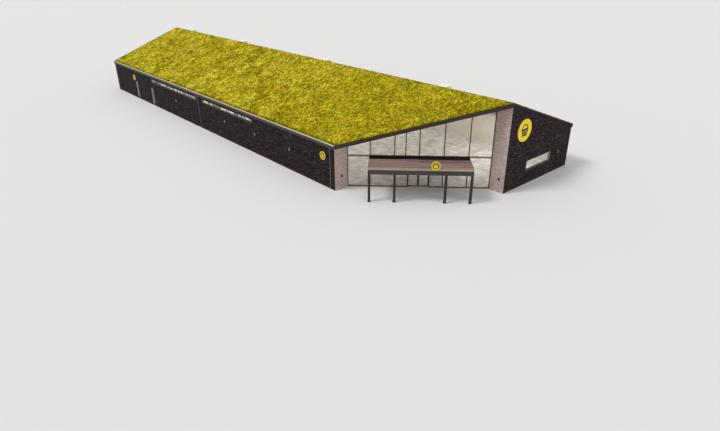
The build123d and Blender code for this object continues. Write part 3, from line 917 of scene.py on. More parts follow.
@dataclass(frozen=True)
class Liner(Finish):
    """Pale ribbed ceiling sheet under the roof deck."""

    colour: Colour = (0.70, 0.67, 0.61)

    def paint(self, g: Graph) -> Inputs:
        """Ribs across the slope, with faint patches and painted shade in the rib troughs."""
        where = g.coordinates()
        ribs = g.add("ShaderNodeTexWave", {"Vector": where, "Scale": 1.31, "Distortion": 0.0},
                     bands_direction="Y", wave_profile="SIN").outputs[1]
        patches = g.noise(where, 1.2, 4.0)
        colour = g.mix(g.span(patches, 0.35, 0.7), self.colour, shaded(self.colour, 0.9))
        # The troughs of the ribs are darkened: painted shade.
        return {"Base Color": g.mix(g.span(ribs, 0.0, 0.25, 0.35, 0.0), colour, shaded(self.colour, 0.6)),
                "Roughness": g.span(patches, 0.3, 0.7, 0.5, 0.7),
                "Normal": g.bump(g.span(ribs, 0.0, 0.4), 0.012)}


DARK_BRICK = Brick("dark_brickwork", (0.0065, 0.0042, 0.0052), (0.0185, 0.0126, 0.0148),
                   (0.074, 0.056, 0.059), (0.052, 0.043, 0.040))
LIGHT_BRICK = Brick("grey_brown_brickwork", (0.35, 0.27, 0.24), (0.495, 0.39, 0.35), (0.635, 0.515, 0.468),
                    (0.40, 0.35, 0.31))
DARK_MORTAR: Colour = (0.020, 0.0155, 0.0168)
PALE_MORTAR: Colour = (0.33, 0.28, 0.25)
BRONZE = Coating("dark_bronze_coating", (0.024, 0.019, 0.016), (0.040, 0.033, 0.028), 0.40, 0.0, 2.0, 0.3)
FASCIA = Coating("brown_black_fascia", (0.024, 0.016, 0.010), (0.038, 0.027, 0.019), 0.50, 0.0, 1.3, 0.2)
EAVE_BOARD = Coating("plum_grey_eave_board", (0.042, 0.032, 0.033), (0.060, 0.046, 0.048), 0.48, 0.0, 1.3,
                     0.2)
CAPPING = Coating("pale_capping", (0.70, 0.63, 0.53), (0.58, 0.52, 0.44), 0.36, 0.0, 1.2, 0.3)
CURB_WHITE = Coating("curb_white_paint", (0.84, 0.82, 0.70), (0.74, 0.71, 0.58), 0.40, 0.0, 3.0, 0.3)
TRIM = Coating("canopy_trim_paint", (0.33, 0.255, 0.19), (0.23, 0.18, 0.15), 0.38, 0.0, 1.5, 0.4)
STEEL = Coating("grey_steel_paint", (0.031, 0.029, 0.023), (0.051, 0.048, 0.038), 0.44, 0.0, 1.6, 0.25)
POST_STEEL = Coating("dark_post_paint", (0.017, 0.016, 0.016), (0.028, 0.026, 0.026), 0.46, 0.0, 1.8, 0.25)
PIPE_GREY = Coating("pipe_grey_paint", (0.070, 0.066, 0.070), (0.105, 0.100, 0.102), 0.42, 0.0, 2.5, 0.4)
LAMP_GREY = Coating("lamp_paint", (0.24, 0.24, 0.245), (0.32, 0.32, 0.32), 0.36, 0.0, 8.0)
GASKET = Coating("black_gasket", (0.012, 0.012, 0.012), (0.022, 0.022, 0.022), 0.62, 0.0, 6.0, 0.3)
ZINC = Coating("bright_fixings", (0.42, 0.42, 0.42), (0.32, 0.32, 0.31), 0.34, 0.85, 9.0)
LENS = Enamel("lamp_lens", (0.21, 0.205, 0.205), (0.16, 0.155, 0.155))
YELLOW = Enamel("yellow_enamel", (0.86, 0.67, 0.004), (0.76, 0.58, 0.008))
CHARCOAL = Enamel("charcoal_enamel", (0.030, 0.024, 0.022), (0.045, 0.038, 0.035))
BOARDS = Timber("oiled_canopy_boards", (0.100, 0.060, 0.050), (0.325, 0.218, 0.187), 45.0, 0.40, 0.75)
GLULAM = Timber("glued_spruce", (0.42, 0.24, 0.10), (0.62, 0.40, 0.20), 0.0, 0.5)
PLANTING = Stonecrop("stonecrop")
GLASS = Glazing("clear_glass")
REFLECTION_PAINTED_GLASS = GlazingWithPaintedReflection("glass_with_painted_green_reflection")
OPAL = Opal("opal_acrylic")
ROOF_FELT = Felt("roofing_felt")
FLOOR = Screed("tiled_floor")
CEILING = Liner("ribbed_ceiling")


# Sub-assemblies


@dataclass(frozen=True)
class Opening:
    """A hole in a wall face, in the face's x and z."""

    x0: float
    x1: float
    z0: float
    z1: float


@dataclass(frozen=True)
class WindowRow:
    """A row of panes in a long wall, measured from the cut corner towards the rear."""

    start: float
    width: float
    sill: float
    height: float
    first_mullion: float = 7.645
    spacing: float = 1.52
    margin: float = 0.05

    def on(self, face: Face) -> Opening:
        """The row's hole in the left or the right wall's face."""
        x0 = min(side_x(face, self.start), side_x(face, self.start + self.width))
        return Opening(x0, x0 + self.width, self.sill, self.sill + self.height)

    def mullions(self, face: Face) -> list[float]:
        """Lines of the common grid that fall inside the row, as x of the face."""
        lines = self.first_mullion + self.spacing * np.arange(9)
        lines = lines[(lines > self.start + self.margin) & (lines < self.start + self.width - self.margin)]
        return sorted(side_x(face, lines).tolist())


SIDE_ROWS = (WindowRow(6.575, 5.535, 1.545, 0.225), WindowRow(12.665, 6.56, 1.545, 0.225),
             WindowRow(19.005, 0.5, 0.04, 1.15), WindowRow(21.625, 0.5, 0.04, 1.15))
GABLE_WINDOW = Opening(1.58, 3.645, 0.6, 1.1)


@dataclass
class Brickwork:
    """Half-bond brickwork in front of the mortar of each wall."""

    length: float = 0.114
    height: float = 0.027
    joint: float = 0.006
    proud: float = 0.0032
    sunk: float = 0.004
    spread: float = 0.25
    tone: float = 0.5
    # The front gable's bricks take a lighter tone: painted light on the gable face, partly its warmer
    # weathering.
    lit_gable_tone: float = 0.59
    shortest: float = 0.008
    thinnest: float = 0.004
    eave_gap: float = 0.155
    verge_gap: float = 0.006
    deck_gap: float = 0.004

    def courses(self, x0: float, x1: float, top: float) -> Array:
        """Whole courses: brick c of row r starts at (c + half of every second r) * pitch.

        Args:
            x0: Left end of the wall.
            x1: Right end.
            top: Highest point that a brick may reach.

        Returns:
            Left, right, lower and upper edge of each brick, (n, 4).
        """
        pitch, rise = self.length + self.joint, self.height + self.joint
        rows, columns = np.meshgrid(np.arange(math.ceil(top / rise)),
                                    np.arange(-1, math.ceil((x1 - x0) / pitch) + 1), indexing="ij")
        left = x0 + (columns + 0.5 * (rows % 2)).ravel() * pitch
        low = rows.ravel() * rise
        bricks = np.stack([left, left + self.length, low, low + self.height], axis=1)
        bricks[:, :2] = np.clip(bricks[:, :2], x0, x1)
        return bricks[bricks[:, 1] - bricks[:, 0] > self.shortest]

    def cut(self, bricks: Array, hole: Opening) -> Array:
        """Takes a hole out of the bricks.

        Args:
            bricks: Left, right, lower and upper edge of each brick, (n, 4).
            hole: The hole.

        Returns:
            What is left of them beside, over and under it.
        """

        def held(whole: Array, column: int, bound: float) -> Array:
            """A copy with left and lower edges held to at least a bound, others to at most."""
            part = whole.copy()
            part[:, column] = (np.minimum if column % 2 else np.maximum)(part[:, column], bound)
            return part

        inside = ((bricks[:, 0] < hole.x1) & (bricks[:, 1] > hole.x0)
                  & (bricks[:, 2] < hole.z1) & (bricks[:, 3] > hole.z0))
        hit = bricks[inside]
        middle = held(held(hit, 0, hole.x0), 1, hole.x1)
        left = np.concatenate([bricks[~inside], held(hit, 1, hole.x0), held(hit, 0, hole.x1),
                               held(middle, 3, hole.z0), held(middle, 2, hole.z1)])
        return left[(left[:, 1] - left[:, 0] > self.shortest) & (left[:, 3] - left[:, 2] > self.thinnest)]

    def wall(self, mould: Mould, face: Face, x0: float, x1: float, limits: Sequence[float],
             holes: Sequence[Opening], seed: int) -> None:
        """Lays one face of a wall whose upper edge runs straight from end to end.

        Args:
            mould: Mesh that the bricks go into.
            face: Frame of the wall's outer face.
            x0: Left end of the wall.
            x1: Right end.
            limits: Height of the wall's edge at the left and at the right end.
            holes: Windows.
            seed: Start of the random tones.
        """
        bricks = self.courses(x0, x1, max(limits))
        for hole in holes:
            bricks = self.cut(bricks, hole)
        ends = (bricks[:, :2] - x0) / (x1 - x0)
        tops = np.minimum(bricks[:, 3:4], limits[0] + ends * (limits[1] - limits[0]))
        kept = tops.max(axis=1) > bricks[:, 2] + 0.003
        bricks, tops = bricks[kept], np.maximum(tops[kept], bricks[kept, 2:3])
        count, low = len(bricks), bricks[:, 2]
        x = bricks[:, [0, 1, 1, 0, 0, 1, 1, 0]]
        y = np.tile([-self.proud] * 4 + [self.sunk] * 4, (count, 1))
        z = np.stack([low, low, tops[:, 1], tops[:, 0]] * 2, axis=1)
        points = np.stack([x, y, z], axis=-1).reshape(-1, 3)
        drawn = np.random.default_rng(seed).normal(self.tone, self.spread, count)
        mould.add((points, [copied(BRICK_QUADS, count, 8)]), face, np.repeat(np.clip(drawn, 0, 1), 8))

    def gable(self, mould: Mould, face: Face, ends: tuple[float, float], peak: float,
              holes: Sequence[Opening], seed: int) -> None:
        """Lays a gable up to the verge, in one piece or in two that meet under the ridge.

        Args:
            mould: Mesh that the bricks go into.
            face: Frame of the gable's face.
            ends: Left and right end of the gable.
            peak: Place of the ridge line on the face.
            holes: Windows.
            seed: Start of the random tones.
        """
        drop = HALL.planting + self.verge_gap
        for number, (x0, x1) in enumerate(((ends[0], peak), (peak, ends[1]))):
            if x1 - x0 > 0.01:
                limits = [float(HALL.roof(x - peak)) - drop for x in (x0, x1)]
                self.wall(mould, face, x0, x1, limits, holes, seed + number)

    def build(self) -> None:
        """Lays all the walls and gives the CAD walls their mortar and plaster."""
        walls = {word: Mould() for word in ("left", "right", "rear", "front_gable", "returns")}
        top = HALL.eave - self.eave_gap
        for word, face, length, seed in (("left", LEFT, HALL.rear - HALL.cut, 11),
                                         ("right", RIGHT, HALL.rear - HALL.front, 12)):
            holes = [row.on(face) for row in SIDE_ROWS]
            self.wall(walls[word], face, -self.proud, length + self.proud, (top, top), holes, seed)
        self.gable(walls["rear"], REAR, (0.0, 2 * HALL.half_width), HALL.half_width, [], 13)
        # A lighter brick tone on the front gable, painted light.
        front = replace(self, tone=self.lit_gable_tone)
        front.gable(walls["front_gable"], GABLE, (-self.proud, HALL.half_width), 0.0, [GABLE_WINDOW], 15)
        low, high, ridge = (float(HALL.roof(x)) - HALL.under_deck - self.deck_gap
                            for x in (-HALL.half_width, RETURN_LENGTH - HALL.half_width, 0.0))
        for face, limits, seed in ((LEFT_RETURN, (low, high), 17), (RIGHT_RETURN, (ridge, ridge), 18)):
            self.wall(walls["returns"], face, 0.0, RETURN_LENGTH, limits, [], seed)
        for word, mould in walls.items():
            light = word == "returns"
            mould.build(f"brickwork_{word}", Slot.LIGHT_BRICK if light else Slot.DARK_BRICK,
                        LIGHT_BRICK if light else DARK_BRICK)
        for word, mortar, inward, node in (("dark", DARK_MORTAR, Inward.RIGHT, "left_wall"),
                                           ("dark", DARK_MORTAR, Inward.LEFT, "right_wall"),
                                           ("dark", DARK_MORTAR, Inward.FRONT, "rear_gable_wall"),
                                           ("dark", DARK_MORTAR, Inward.BACK, "front_gable_wall"),
                                           ("pale", PALE_MORTAR, Inward.BACK, "entrance_return_left"),
                                           ("pale", PALE_MORTAR, Inward.RIGHT, "entrance_return_right")):
            Masonry(f"{word}_masonry_{node}", mortar, inward).dress(node)


@dataclass
class Rooflights:
    """Clamping frames and flashings of the four rooflights."""

    half_side: float = 0.23
    place: float = 0.6
    first: float = HALL.front + 4.095
    run: float = 25.0
    shares: tuple[float, ...] = (0.0, 0.348, 0.705, 1.0)
    rise: float = 0.018
    frame: Profile = ((0.210, 0.010), (0.210, -0.010), (0.234, -0.010), (0.234, 0.007), (0.231, 0.010))
    flashing: Profile = ((0.230, 0.008), (0.230, -0.004), (0.282, -0.004), (0.282, 0.004), (0.242, 0.006))

    @property
    def centres(self) -> Array:
        """Y of the rooflights' middles."""
        return self.first + self.run * np.array(self.shares)

    def clear(self, x: Array, y: Array) -> Array:
        """Distance of places on the roof from the nearest curb, less than 0 inside it."""
        return np.min([np.maximum(np.abs(x - self.place), np.abs(y - centre)) - self.half_side
                       for centre in self.centres], axis=0)

    def around(self, centre: float, profile: Profile, level: float | None) -> Shape:
        """A square ring round a rooflight.

        Args:
            centre: Y of the rooflight's middle.
            profile: Half side and height of each of its lines.
            level: Height from which theirs count, or None for the roof's own slope.

        Returns:
            Points and quads.
        """
        signs = np.array([(-1, -1), (1, -1), (1, 1), (-1, 1)])
        lines = []
        for half, lift in profile:
            corners = signs * half + (self.place, centre)
            base = HALL.roof(corners[:, 0]) if level is None else np.full(4, level)
            lines.append(np.column_stack([corners, base + lift]))
        return carried(np.stack(lines, axis=1), closed=True)

    def build(self) -> None:
        """A frame on each curb's top and a sloping flashing on the planting round it."""
        top = float(HALL.roof(self.place - self.half_side)) + self.rise
        for word, profile, level, finish in (("frames", self.frame, top, CURB_WHITE),
                                             ("flashings", self.flashing, None, STEEL)):
            mould = Mould()
            for centre in self.centres:
                mould.add(self.around(centre, profile, level))
            mould.build(f"rooflight_{word}", Slot.PALE_METAL, finish)
        CURB_WHITE.dress("rooflight_curbs")
        OPAL.dress("rooflight_domes")


@dataclass
class PlantedRoof:
    """Mats of stonecrop with rosettes on them, over both slopes."""

    margin: float = 0.036
    swell: float = 0.024
    spacing: float = 0.066
    ceiling: float = 3.9575
    big_clump: float = 0.27
    small_clump: float = 0.115
    drift: float = 1.1
    fading: float = 0.11
    eave_shade: float = 0.13
    rosettes: int = 11000
    radii: tuple[float, float] = (0.018, 0.036)
    bare_front: float = 0.10
    bare_rear: float = 0.03
    bare_collar: float = 0.07
    collar: float = 0.015
    lights: Rooflights = field(default_factory=Rooflights)

    def front_edge(self, x: Array) -> Array:
        """Y of the roof's front edge: the diagonal on the left, the gable's verge on the right."""
        reach = HALL.overhang
        return np.maximum(HALL.front - reach * math.sqrt(2) - x, HALL.front - reach)

    def growth(self, x: Array, y: Array) -> tuple[Array, Array]:
        """Height of the plants over the roof's top and their tone, both from layers of clumps.

        Large and small clumps and a slow drift are added, and all fade out towards the edges and rooflights,
        where the tone darkens as painted shade; along the eaves the painted shade is darkest.

        Args:
            x: Places across the roof.
            y: Places along it.

        Returns:
            Heights in metres and tones from 0 to 1.
        """
        big, big_tone = cushions(x, y, self.big_clump, 3)
        small, small_tone = cushions(x + 0.4 * big, y, self.small_clump, 7)
        raised = 0.18 + 0.34 * big + 0.34 * small + 0.14 * waves(x, y, self.drift, 21)
        eave = HALL.edge - np.abs(x)
        front = (y - self.front_edge(x)) * np.where(x < 0, ROOT_HALF, 1.0)
        edge = np.min([eave, HALL.rear + HALL.overhang - y, front, self.lights.clear(x, y)], axis=0)
        fade = np.clip((edge - self.margin) / self.fading, 0, 1)
        shade = np.clip((eave - self.margin) / self.eave_shade, 0, 1)
        tone = 0.16 + 0.07 * big_tone + 0.26 * small_tone + 0.24 * small + 0.06 * big
        # Painted shade: the tone darkens near the edges and rooflights, and most along the eaves.
        return self.swell * raised * fade ** 0.6 + 0.001, tone * (0.05 + 0.95 * shade) * (0.65 + 0.35 * fade)

    def mat(self, mould: Mould, xs: Array, ys: Array) -> None:
        """A closed mat over a grid whose rows spread from the front edge to the rear.

        Args:
            mould: Mesh that the mat goes into.
            xs: Places of the columns, from left to right, (columns,).
            ys: Places of each row in each column, (rows, columns).
        """
        rows, columns = ys.shape
        x = np.broadcast_to(xs, ys.shape)
        rise, tone = self.growth(x, ys)
        z = np.minimum(HALL.roof(x) + rise, self.ceiling)
        top = np.stack([x, ys, z], axis=-1).reshape(-1, 3)
        numbers = np.arange(rows * columns).reshape(rows, columns)
        rim = np.concatenate([numbers[0], numbers[1:, -1], numbers[-1, -2::-1], numbers[-2:0:-1, 0]])
        under = top[rim].copy()
        under[:, 2] = HALL.roof(under[:, 0]) - 0.004
        quads = np.stack([numbers[:-1, :-1], numbers[:-1, 1:], numbers[1:, 1:], numbers[1:, :-1]], axis=-1)
        low = rows * columns + np.arange(len(rim))
        skirt = np.stack([low, np.roll(low, -1), np.roll(rim, -1), rim], axis=-1)
        left = np.concatenate([low[:1], low[2 * columns + rows - 3:][::-1]])
        right = low[columns - 1:columns + rows - 1]
        strips = np.stack([left[1:-2], left[2:-1], right[2:-1], right[1:-2]], axis=-1)
        front = np.concatenate([left[:2], right[1:2], low[columns - 1:0:-1]])[None]
        back_row = low[columns + rows - 2:columns + rows - 2 + columns]
        back = np.concatenate([left[-2:-1], back_row[::-1], right[-2:-1]])[None]
        # The skirt's points take tone 0, so the mat's sides get the painted shadow colour.
        mould.add((np.concatenate([top, under]), [quads.reshape(-1, 4), skirt, strips, front, back]),
                  tone=np.concatenate([tone.ravel(), np.zeros(len(rim))]))

    def scatter(self, low: float, high: float, seed: int) -> Mould:
        """Scatters small rosettes over a slope: a squashed bud with three broad leaves at each place.

        Args:
            low: Lowest x.
            high: Highest x.
            seed: Start of the random places.

        Returns:
            All of them.
        """
        chance = np.random.default_rng(seed)
        x = chance.uniform(low, high, self.rosettes)
        start = self.front_edge(x) + self.bare_front
        y = start + (HALL.rear - self.bare_rear - start) * chance.uniform(0, 1, self.rosettes)
        kept = self.lights.clear(x, y) > self.bare_collar
        x, y = x[kept], y[kept]
        rise, tone = self.growth(x, y)
        count = len(x)
        radius = chance.uniform(*self.radii, count)
        tall = radius * chance.uniform(0.40, 0.65, count)
        centre = np.minimum(HALL.roof(x) + rise + 0.2 * tall, self.ceiling - tall)
        turn = chance.uniform(0, math.pi, count)[:, None] + np.arange(6)[None] * math.pi / 3
        uneven = radius[:, None] * chance.uniform(0.8, 1.2, (count, 6)) * np.array([1.0, 0.5] * 3)
        ring = np.stack([x[:, None] + uneven * np.cos(turn), y[:, None] + uneven * np.sin(turn),
                         np.broadcast_to(centre[:, None], (count, 6))], axis=-1)
        tips = [np.stack([x, y, centre + side * tall], axis=-1)[:, None] for side in (1, -1)]
        corner = np.arange(6)
        follower = np.roll(corner, -1)
        pattern = np.concatenate([np.column_stack([corner, follower, np.full(6, 6)]),
                                  np.column_stack([follower, corner, np.full(6, 7)])])
        pale = np.clip(0.4 * tone + chance.normal(0.45, 0.18, count), 0, 1)
        points = np.concatenate([ring, *tips], axis=1).reshape(-1, 3)
        return Mould().add((points, [copied(pattern, count, 8)]), tone=np.repeat(pale, 8))

    def steps(self, a: float, b: float) -> Array:
        """Evenly spaced places from one to another, about a spacing apart."""
        return np.linspace(a, b, max(2, round((b - a) / self.spacing) + 1))

    def build(self) -> None:
        """Two mats that share their rows along the ridge, and the rosettes on them."""
        reach = self.lights.half_side + self.collar
        front = HALL.front - HALL.overhang + self.margin
        rear = HALL.rear + HALL.overhang - self.margin
        outer = HALL.edge - self.margin
        centres = self.lights.centres
        breaks = np.sort(np.concatenate([[front, rear], centres - reach, centres + reach]))
        along = np.concatenate([self.steps(a, b)[:-1] for a, b in zip(breaks, breaks[1:])] + [[rear]])
        left, right = Mould(), Mould()
        xs = self.steps(-outer, 0.0)
        share = (along - front) / (rear - front)
        starts = self.front_edge(xs) + self.margin * np.where(xs < -0.02, math.sqrt(2), 1.0)
        self.mat(left, xs, starts[None] + share[:, None] * (rear - starts[None]))
        inner_x, outer_x = self.lights.place - reach, self.lights.place + reach
        whole = [(self.steps(x0, x1), along) for x0, x1 in ((0.0, inner_x), (outer_x, outer))]
        between = [(np.linspace(inner_x, outer_x, 8), along[(along > a - 1e-6) & (along < b + 1e-6)])
                   for a, b in zip(breaks[::2], breaks[1::2])]
        for xs, rows in whole + between:
            self.mat(right, xs, np.repeat(rows[:, None], len(xs), axis=1))
        for word, mould in (("left", left), ("right", right)):
            mould.build(f"planting_mat_{word}", Slot.PLANTING, PLANTING, 50.0)
        for word, low, high, seed in (("left", -outer + 0.02, -0.01, 31), ("right", 0.01, outer - 0.02, 32)):
            self.scatter(low, high, seed).build(f"rosettes_{word}", Slot.PLANTING, PLANTING, 80.0)
        PLANTING.dress("roof_planting_left", "roof_planting_right")
        CEILING.dress("roof_deck_left", "roof_deck_right")


@dataclass(frozen=True)
class RoofLine:
    """One straight edge of the roof, from left to right seen from outside."""

    outer: Ends
    inner: Ends

    def ring(self, share: float, profile: Array, width: float) -> Array:
        """The profile's points at a share of the way along.

        A point lies on the line from the outer to the inner edge, by its depth over the width,
        and its drop is taken from the roof's height there.

        Args:
            share: From 0 at the left end to 1 at the right end.
            profile: Depth and drop of each point, (n, 2).
            width: Distance between the outer and the inner edge.

        Returns:
            Points, (n, 3).
        """
        outer, inner = ((1 - share) * np.array(a) + share * np.array(b) for a, b in (self.outer, self.inner))
        plan = outer + (inner - outer) * (profile[:, :1] / width)
        return np.column_stack([plan, HALL.roof(plan[:, 0]) - profile[:, 1]])


@dataclass
class RoofEdge:
    """Fascia boards with a groove along them, low verge strips and the pale capping, in lengths."""

    width: float = 0.02
    panel: float = 1.5
    gap: float = 0.003
    deep: float = 0.17
    shallow: float = 0.06
    rebate: float = 0.0035
    ease: float = 0.002
    sunk: float = 0.009
    gap_height: float = 0.016
    eave_leg: float = 0.026
    verge_leg: float = 0.025
    strip_leg: float = 0.028

    def corner(self, reach: float) -> Ends:
        """Both ends of the entrance's edge for a reach beyond the walls."""
        edge = -HALL.half_width - reach
        diagonal = HALL.front - reach * math.sqrt(2)
        return (edge, diagonal - edge), (reach - reach * math.sqrt(2), HALL.front - reach)

    def lines(self) -> dict[str, list[RoofLine]]:
        """The roof's edges, broken at the ridge."""
        edges: dict[str, list[list[Ends]]] = {}
        for reach in (HALL.overhang, HALL.overhang - self.width):
            low, peak = self.corner(reach)
            x, front, rear = HALL.half_width + reach, HALL.front - reach, HALL.rear + reach
            for name, ends in (("left", [((-x, rear), low)]), ("entrance", [(low, peak)]),
                               ("front", [(peak, (0.0, front)), ((0.0, front), (x, front))]),
                               ("right", [((x, front), (x, rear))]),
                               ("rear", [((x, rear), (0.0, rear)), ((0.0, rear), (-x, rear))])):
                edges.setdefault(name, []).append(ends)
        return {name: [RoofLine(*pair) for pair in zip(*both)] for name, both in edges.items()}

    def lay(self, mould: Mould, line: RoofLine, profile: Array, panel: float) -> None:
        """Carries a profile along an edge in equal lengths with thin joints between them.

        Args:
            mould: Mesh that the lengths go into.
            line: Edge of the roof.
            profile: Depth and drop of each of its points, (n, 2).
            panel: Size that the lengths come near to.
        """
        length = math.dist(*line.outer)
        count = max(1, round(length / panel))
        half_gap = self.gap / 2 / length
        for number in range(count):
            start = number / count + (half_gap if number else 0.0)
            end = (number + 1) / count - (half_gap if number < count - 1 else 0.0)
            stations = np.stack([line.ring(share, profile, self.width) for share in (start, end)])
            mould.add(carried(stations), tone=float(hashed(np.array(number), np.array(1.0), 5)))

    def capping(self, leg: float) -> Array:
        """Folded capping: flat on top, with a leg of a given drop in front of the board."""
        return np.array([(0, leg), (0.003, leg), (0.003, 0.0), (0.016, 0), (0.016, -0.006), (0.014, -0.008),
                         (0.002, -0.008), (0, -0.006)])

    def board(self, leg: float) -> Array:
        """Fascia board: it steps back under a capping leg, with a groove below and a rounded foot."""
        w, c, drop = self.width, self.ease, self.deep
        foot = leg + self.gap_height
        return np.array([(c, drop), (w, drop), (w, 0), (self.rebate, 0), (self.rebate, leg),
                         (self.sunk, leg + c), (self.sunk, foot), (0, foot + c), (0, drop - c)])

    def strip(self) -> Array:
        """Low verge strip with a rounded foot."""
        w, c, drop, leg = self.width, self.ease, self.shallow, self.strip_leg
        return np.array([(c, drop), (w, drop), (w, 0), (self.rebate, 0), (self.rebate, leg), (0, leg),
                         (0, drop - c)])

    def build(self) -> None:
        """Replaces the CAD strips by profiled lengths."""
        lines = self.lines()
        eaves, gables = lines["left"] + lines["right"], lines["front"] + lines["rear"]
        entrance, board, cap = lines["entrance"], self.panel, 2 * self.panel
        for name, finish, node, edges, profile, panel in (
                ("eaves_boards", EAVE_BOARD, "fascia_eaves", eaves, self.board(self.eave_leg), board),
                ("entrance_fascia_boards", FASCIA, "fascia_entrance", entrance, self.board(0.0), board),
                ("verge_strips", FASCIA, "fascia_gables", gables, self.strip(), board),
                ("capping_lengths", CAPPING, "roof_capping", eaves, self.capping(self.eave_leg), cap),
                ("verge_capping", BRONZE, None, lines["front"], self.capping(self.verge_leg), cap)):
            mould = Mould()
            for line in edges:
                self.lay(mould, line, profile, panel)
            slot = Slot.PALE_METAL if finish is CAPPING else Slot.DARK_METAL
            piece = mould.build(name, slot, finish)
            if node is not None:
                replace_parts(piece, node)


@dataclass
class WallWindows:
    """Glazing beads and sills of the windows in the long walls and the front gable."""

    frame: float = 0.024
    recess: float = 0.015
    depth: float = 0.05
    beading: Beading = Beading(0.008, 0.007)
    sill_rise: float = 0.006
    sill_front: float = -0.012
    sill_gap: float = 0.001

    def panes(self, hole: Opening, mullions: Sequence[float]) -> list[Array]:
        """Outlines of the panes in a hole, between the frame's bars."""
        half = self.frame / 2
        bars = [hole.x0 + half, *mullions, hole.x1 - half]
        return [rectangle(a + half, b - half, hole.z0 + self.frame, hole.z1 - self.frame)
                for a, b in zip(bars, bars[1:])]

    def build(self) -> None:
        """Beads on both sides of every pane and a sloping sill under every window."""
        beads, sills = Mould(), Mould()
        near = self.recess + (self.depth - self.beading.pane) / 2
        front, back = self.sill_front, self.recess
        profile = np.array([(front, -0.004), (front + 0.002, -0.004), (0.0, 0.0), (back, 0.0),
                            (back, self.sill_rise + 0.004), (front, 0.001)])
        holes = [(face, row.on(face), row.mullions(face)) for face in (LEFT, RIGHT) for row in SIDE_ROWS]
        for face, hole, mullions in [*holes, (GABLE, GABLE_WINDOW, [])]:
            for outline in self.panes(hole, mullions):
                self.beading.lay(beads, face, outline, near)
            ends = [hole.x0 + self.sill_gap, hole.x1 - self.sill_gap]
            sills.add(carried(lifted([profile + (0.0, hole.z0)] * 2, ends, 0)), face)
        beads.build("window_beads", Slot.DARK_METAL, GASKET)
        sills.build("window_sills", Slot.DARK_METAL, BRONZE)
        BRONZE.dress("side_window_frames", "gable_window_frame")
        # The side windows' upper panes show painted green reflection.
        REFLECTION_PAINTED_GLASS.dress("side_window_glass")
        GLASS.dress("gable_window_glass")


@dataclass
class EntranceScreen:
    """Glazing beads of the glazed wall, and its frames' finish."""

    start: float = HALL.setback
    bay: float = 1.055
    bar: float = 0.03
    transom: float = 1.475
    extra: float = 0.58
    door: float = 0.9
    door_head: float = 1.15
    floor: float = 0.02
    depth: float = 0.075
    beading: Beading = Beading(0.007, 0.009)

    @property
    def middle(self) -> float:
        """Middle of the entrance on its face."""
        return HALL.half_width / math.sqrt(2)

    def top(self, x: float) -> float:
        """Height of the upper frame's hole: the roof over that place less deck and frame."""
        plan = -HALL.half_width + (x + self.start + self.depth / 2) * ROOT_HALF
        return float(HALL.roof(plan) - HALL.under_deck - self.bar)

    def outlines(self) -> list[Array]:
        """Outlines of all the panes."""
        half, middle, door, foot = self.bar / 2, self.middle, self.door / 2, self.floor + self.bar
        left = [self.start + half, middle - 2 * self.bay, middle - self.bay, middle - door - half]
        right = [2 * middle - x for x in reversed(left)]
        panes = [rectangle(a + half, b - half, foot, self.transom - 2 * self.bar)
                 for posts in (left, right) for a, b in zip(posts, posts[1:])]
        head = self.door_head + self.bar
        panes.append(rectangle(middle - door, middle + door, head, self.transom - self.bar))
        upper = sorted([middle + n * self.bay for n in range(-2, 3)]
                       + [self.start + half, 2 * middle - self.start - half, middle - self.extra])
        for a, b in zip(upper, upper[1:]):
            pane = rectangle(a + half, b - half, self.transom, self.transom)
            pane[2:, 1] = [self.top(x) for x in pane[2:, 0]]
            panes.append(pane)
        return panes

    def build(self) -> None:
        """Beads in front of and behind every pane."""
        beads = Mould()
        for outline in self.outlines():
            self.beading.lay(beads, ENTRANCE, outline, self.start + (self.depth - self.beading.pane) / 2)
        beads.build("entrance_beads", Slot.DARK_METAL, GASKET)
        BRONZE.dress("entrance_screen_left", "entrance_screen_right", "entrance_screen_top",
                     "door_lintel_and_track")
        GLASS.dress("entrance_glass_lower", "entrance_glass_upper")


@dataclass
class SlidingDoor:
    """Beads, seals and fixings of one sliding leaf."""

    side: int
    screen: EntranceScreen = field(default_factory=EntranceScreen)
    thickness: float = 0.025
    frame: float = 0.032
    near: float = 0.003
    far: float = 0.46
    low: float = 0.026
    high: float = 1.144
    centre: float = HALL.setback + 0.106
    pane: float = 0.012
    screw: Profile = ((0.005, 0.001), (0.005, -0.001), (0.004, -0.0018))

    def span(self, a: float, b: float) -> list[float]:
        """Two distances from the entrance's middle as places on its face, in order."""
        return sorted((self.screen.middle + self.side * a, self.screen.middle + self.side * b))

    def build(self) -> None:
        """Dresses the CAD leaf and adds its small parts."""
        body, word = (Body.LEFT_DOOR, "left") if self.side < 0 else (Body.RIGHT_DOOR, "right")
        beads, seals, screws = Mould(), Mould(), Mould()
        half, pane, inset = self.thickness / 2, self.pane / 2, self.frame / 2
        x0, x1 = self.span(self.near + self.frame, self.far - self.frame)
        outline = rectangle(x0, x1, self.low + self.frame, self.high - self.frame)
        Beading(0.007, half - pane - 0.001, self.pane).lay(beads, ENTRANCE, outline, self.centre - pane)
        edge, foot = (0.0006, self.near), (self.near + 0.001, self.far - 0.001)
        for across, thick, low, high, chamfer in ((edge, 0.006, self.low, self.high, 0.0008),
                                                  (foot, 0.004, self.low - 0.004, self.low, 0.001)):
            x0, x1 = self.span(*across)
            seals.add(chamfered((x0, self.centre - thick, low), (x1, self.centre + thick, high), chamfer),
                      ENTRANCE)
        for across in (self.near + inset, self.far - inset):
            for up in (self.low + inset, self.high - inset):
                middle = (self.span(across, across)[0], up)
                rings = lifted([circle(12, r, middle) for r, _ in self.screw],
                               [self.centre - half + lift for _, lift in self.screw], 1)
                screws.add(carried(rings), ENTRANCE)
        beads.build(f"door_beads_{word}", Slot.DARK_METAL, GASKET, body=body)
        seals.build(f"door_seals_{word}", Slot.DARK_METAL, GASKET, body=body)
        screws.build(f"door_screws_{word}", Slot.DARK_METAL, ZINC, 50.0, body)
        BRONZE.dress(f"door_leaf_{word}")
        GLASS.dress(f"door_glass_{word}")


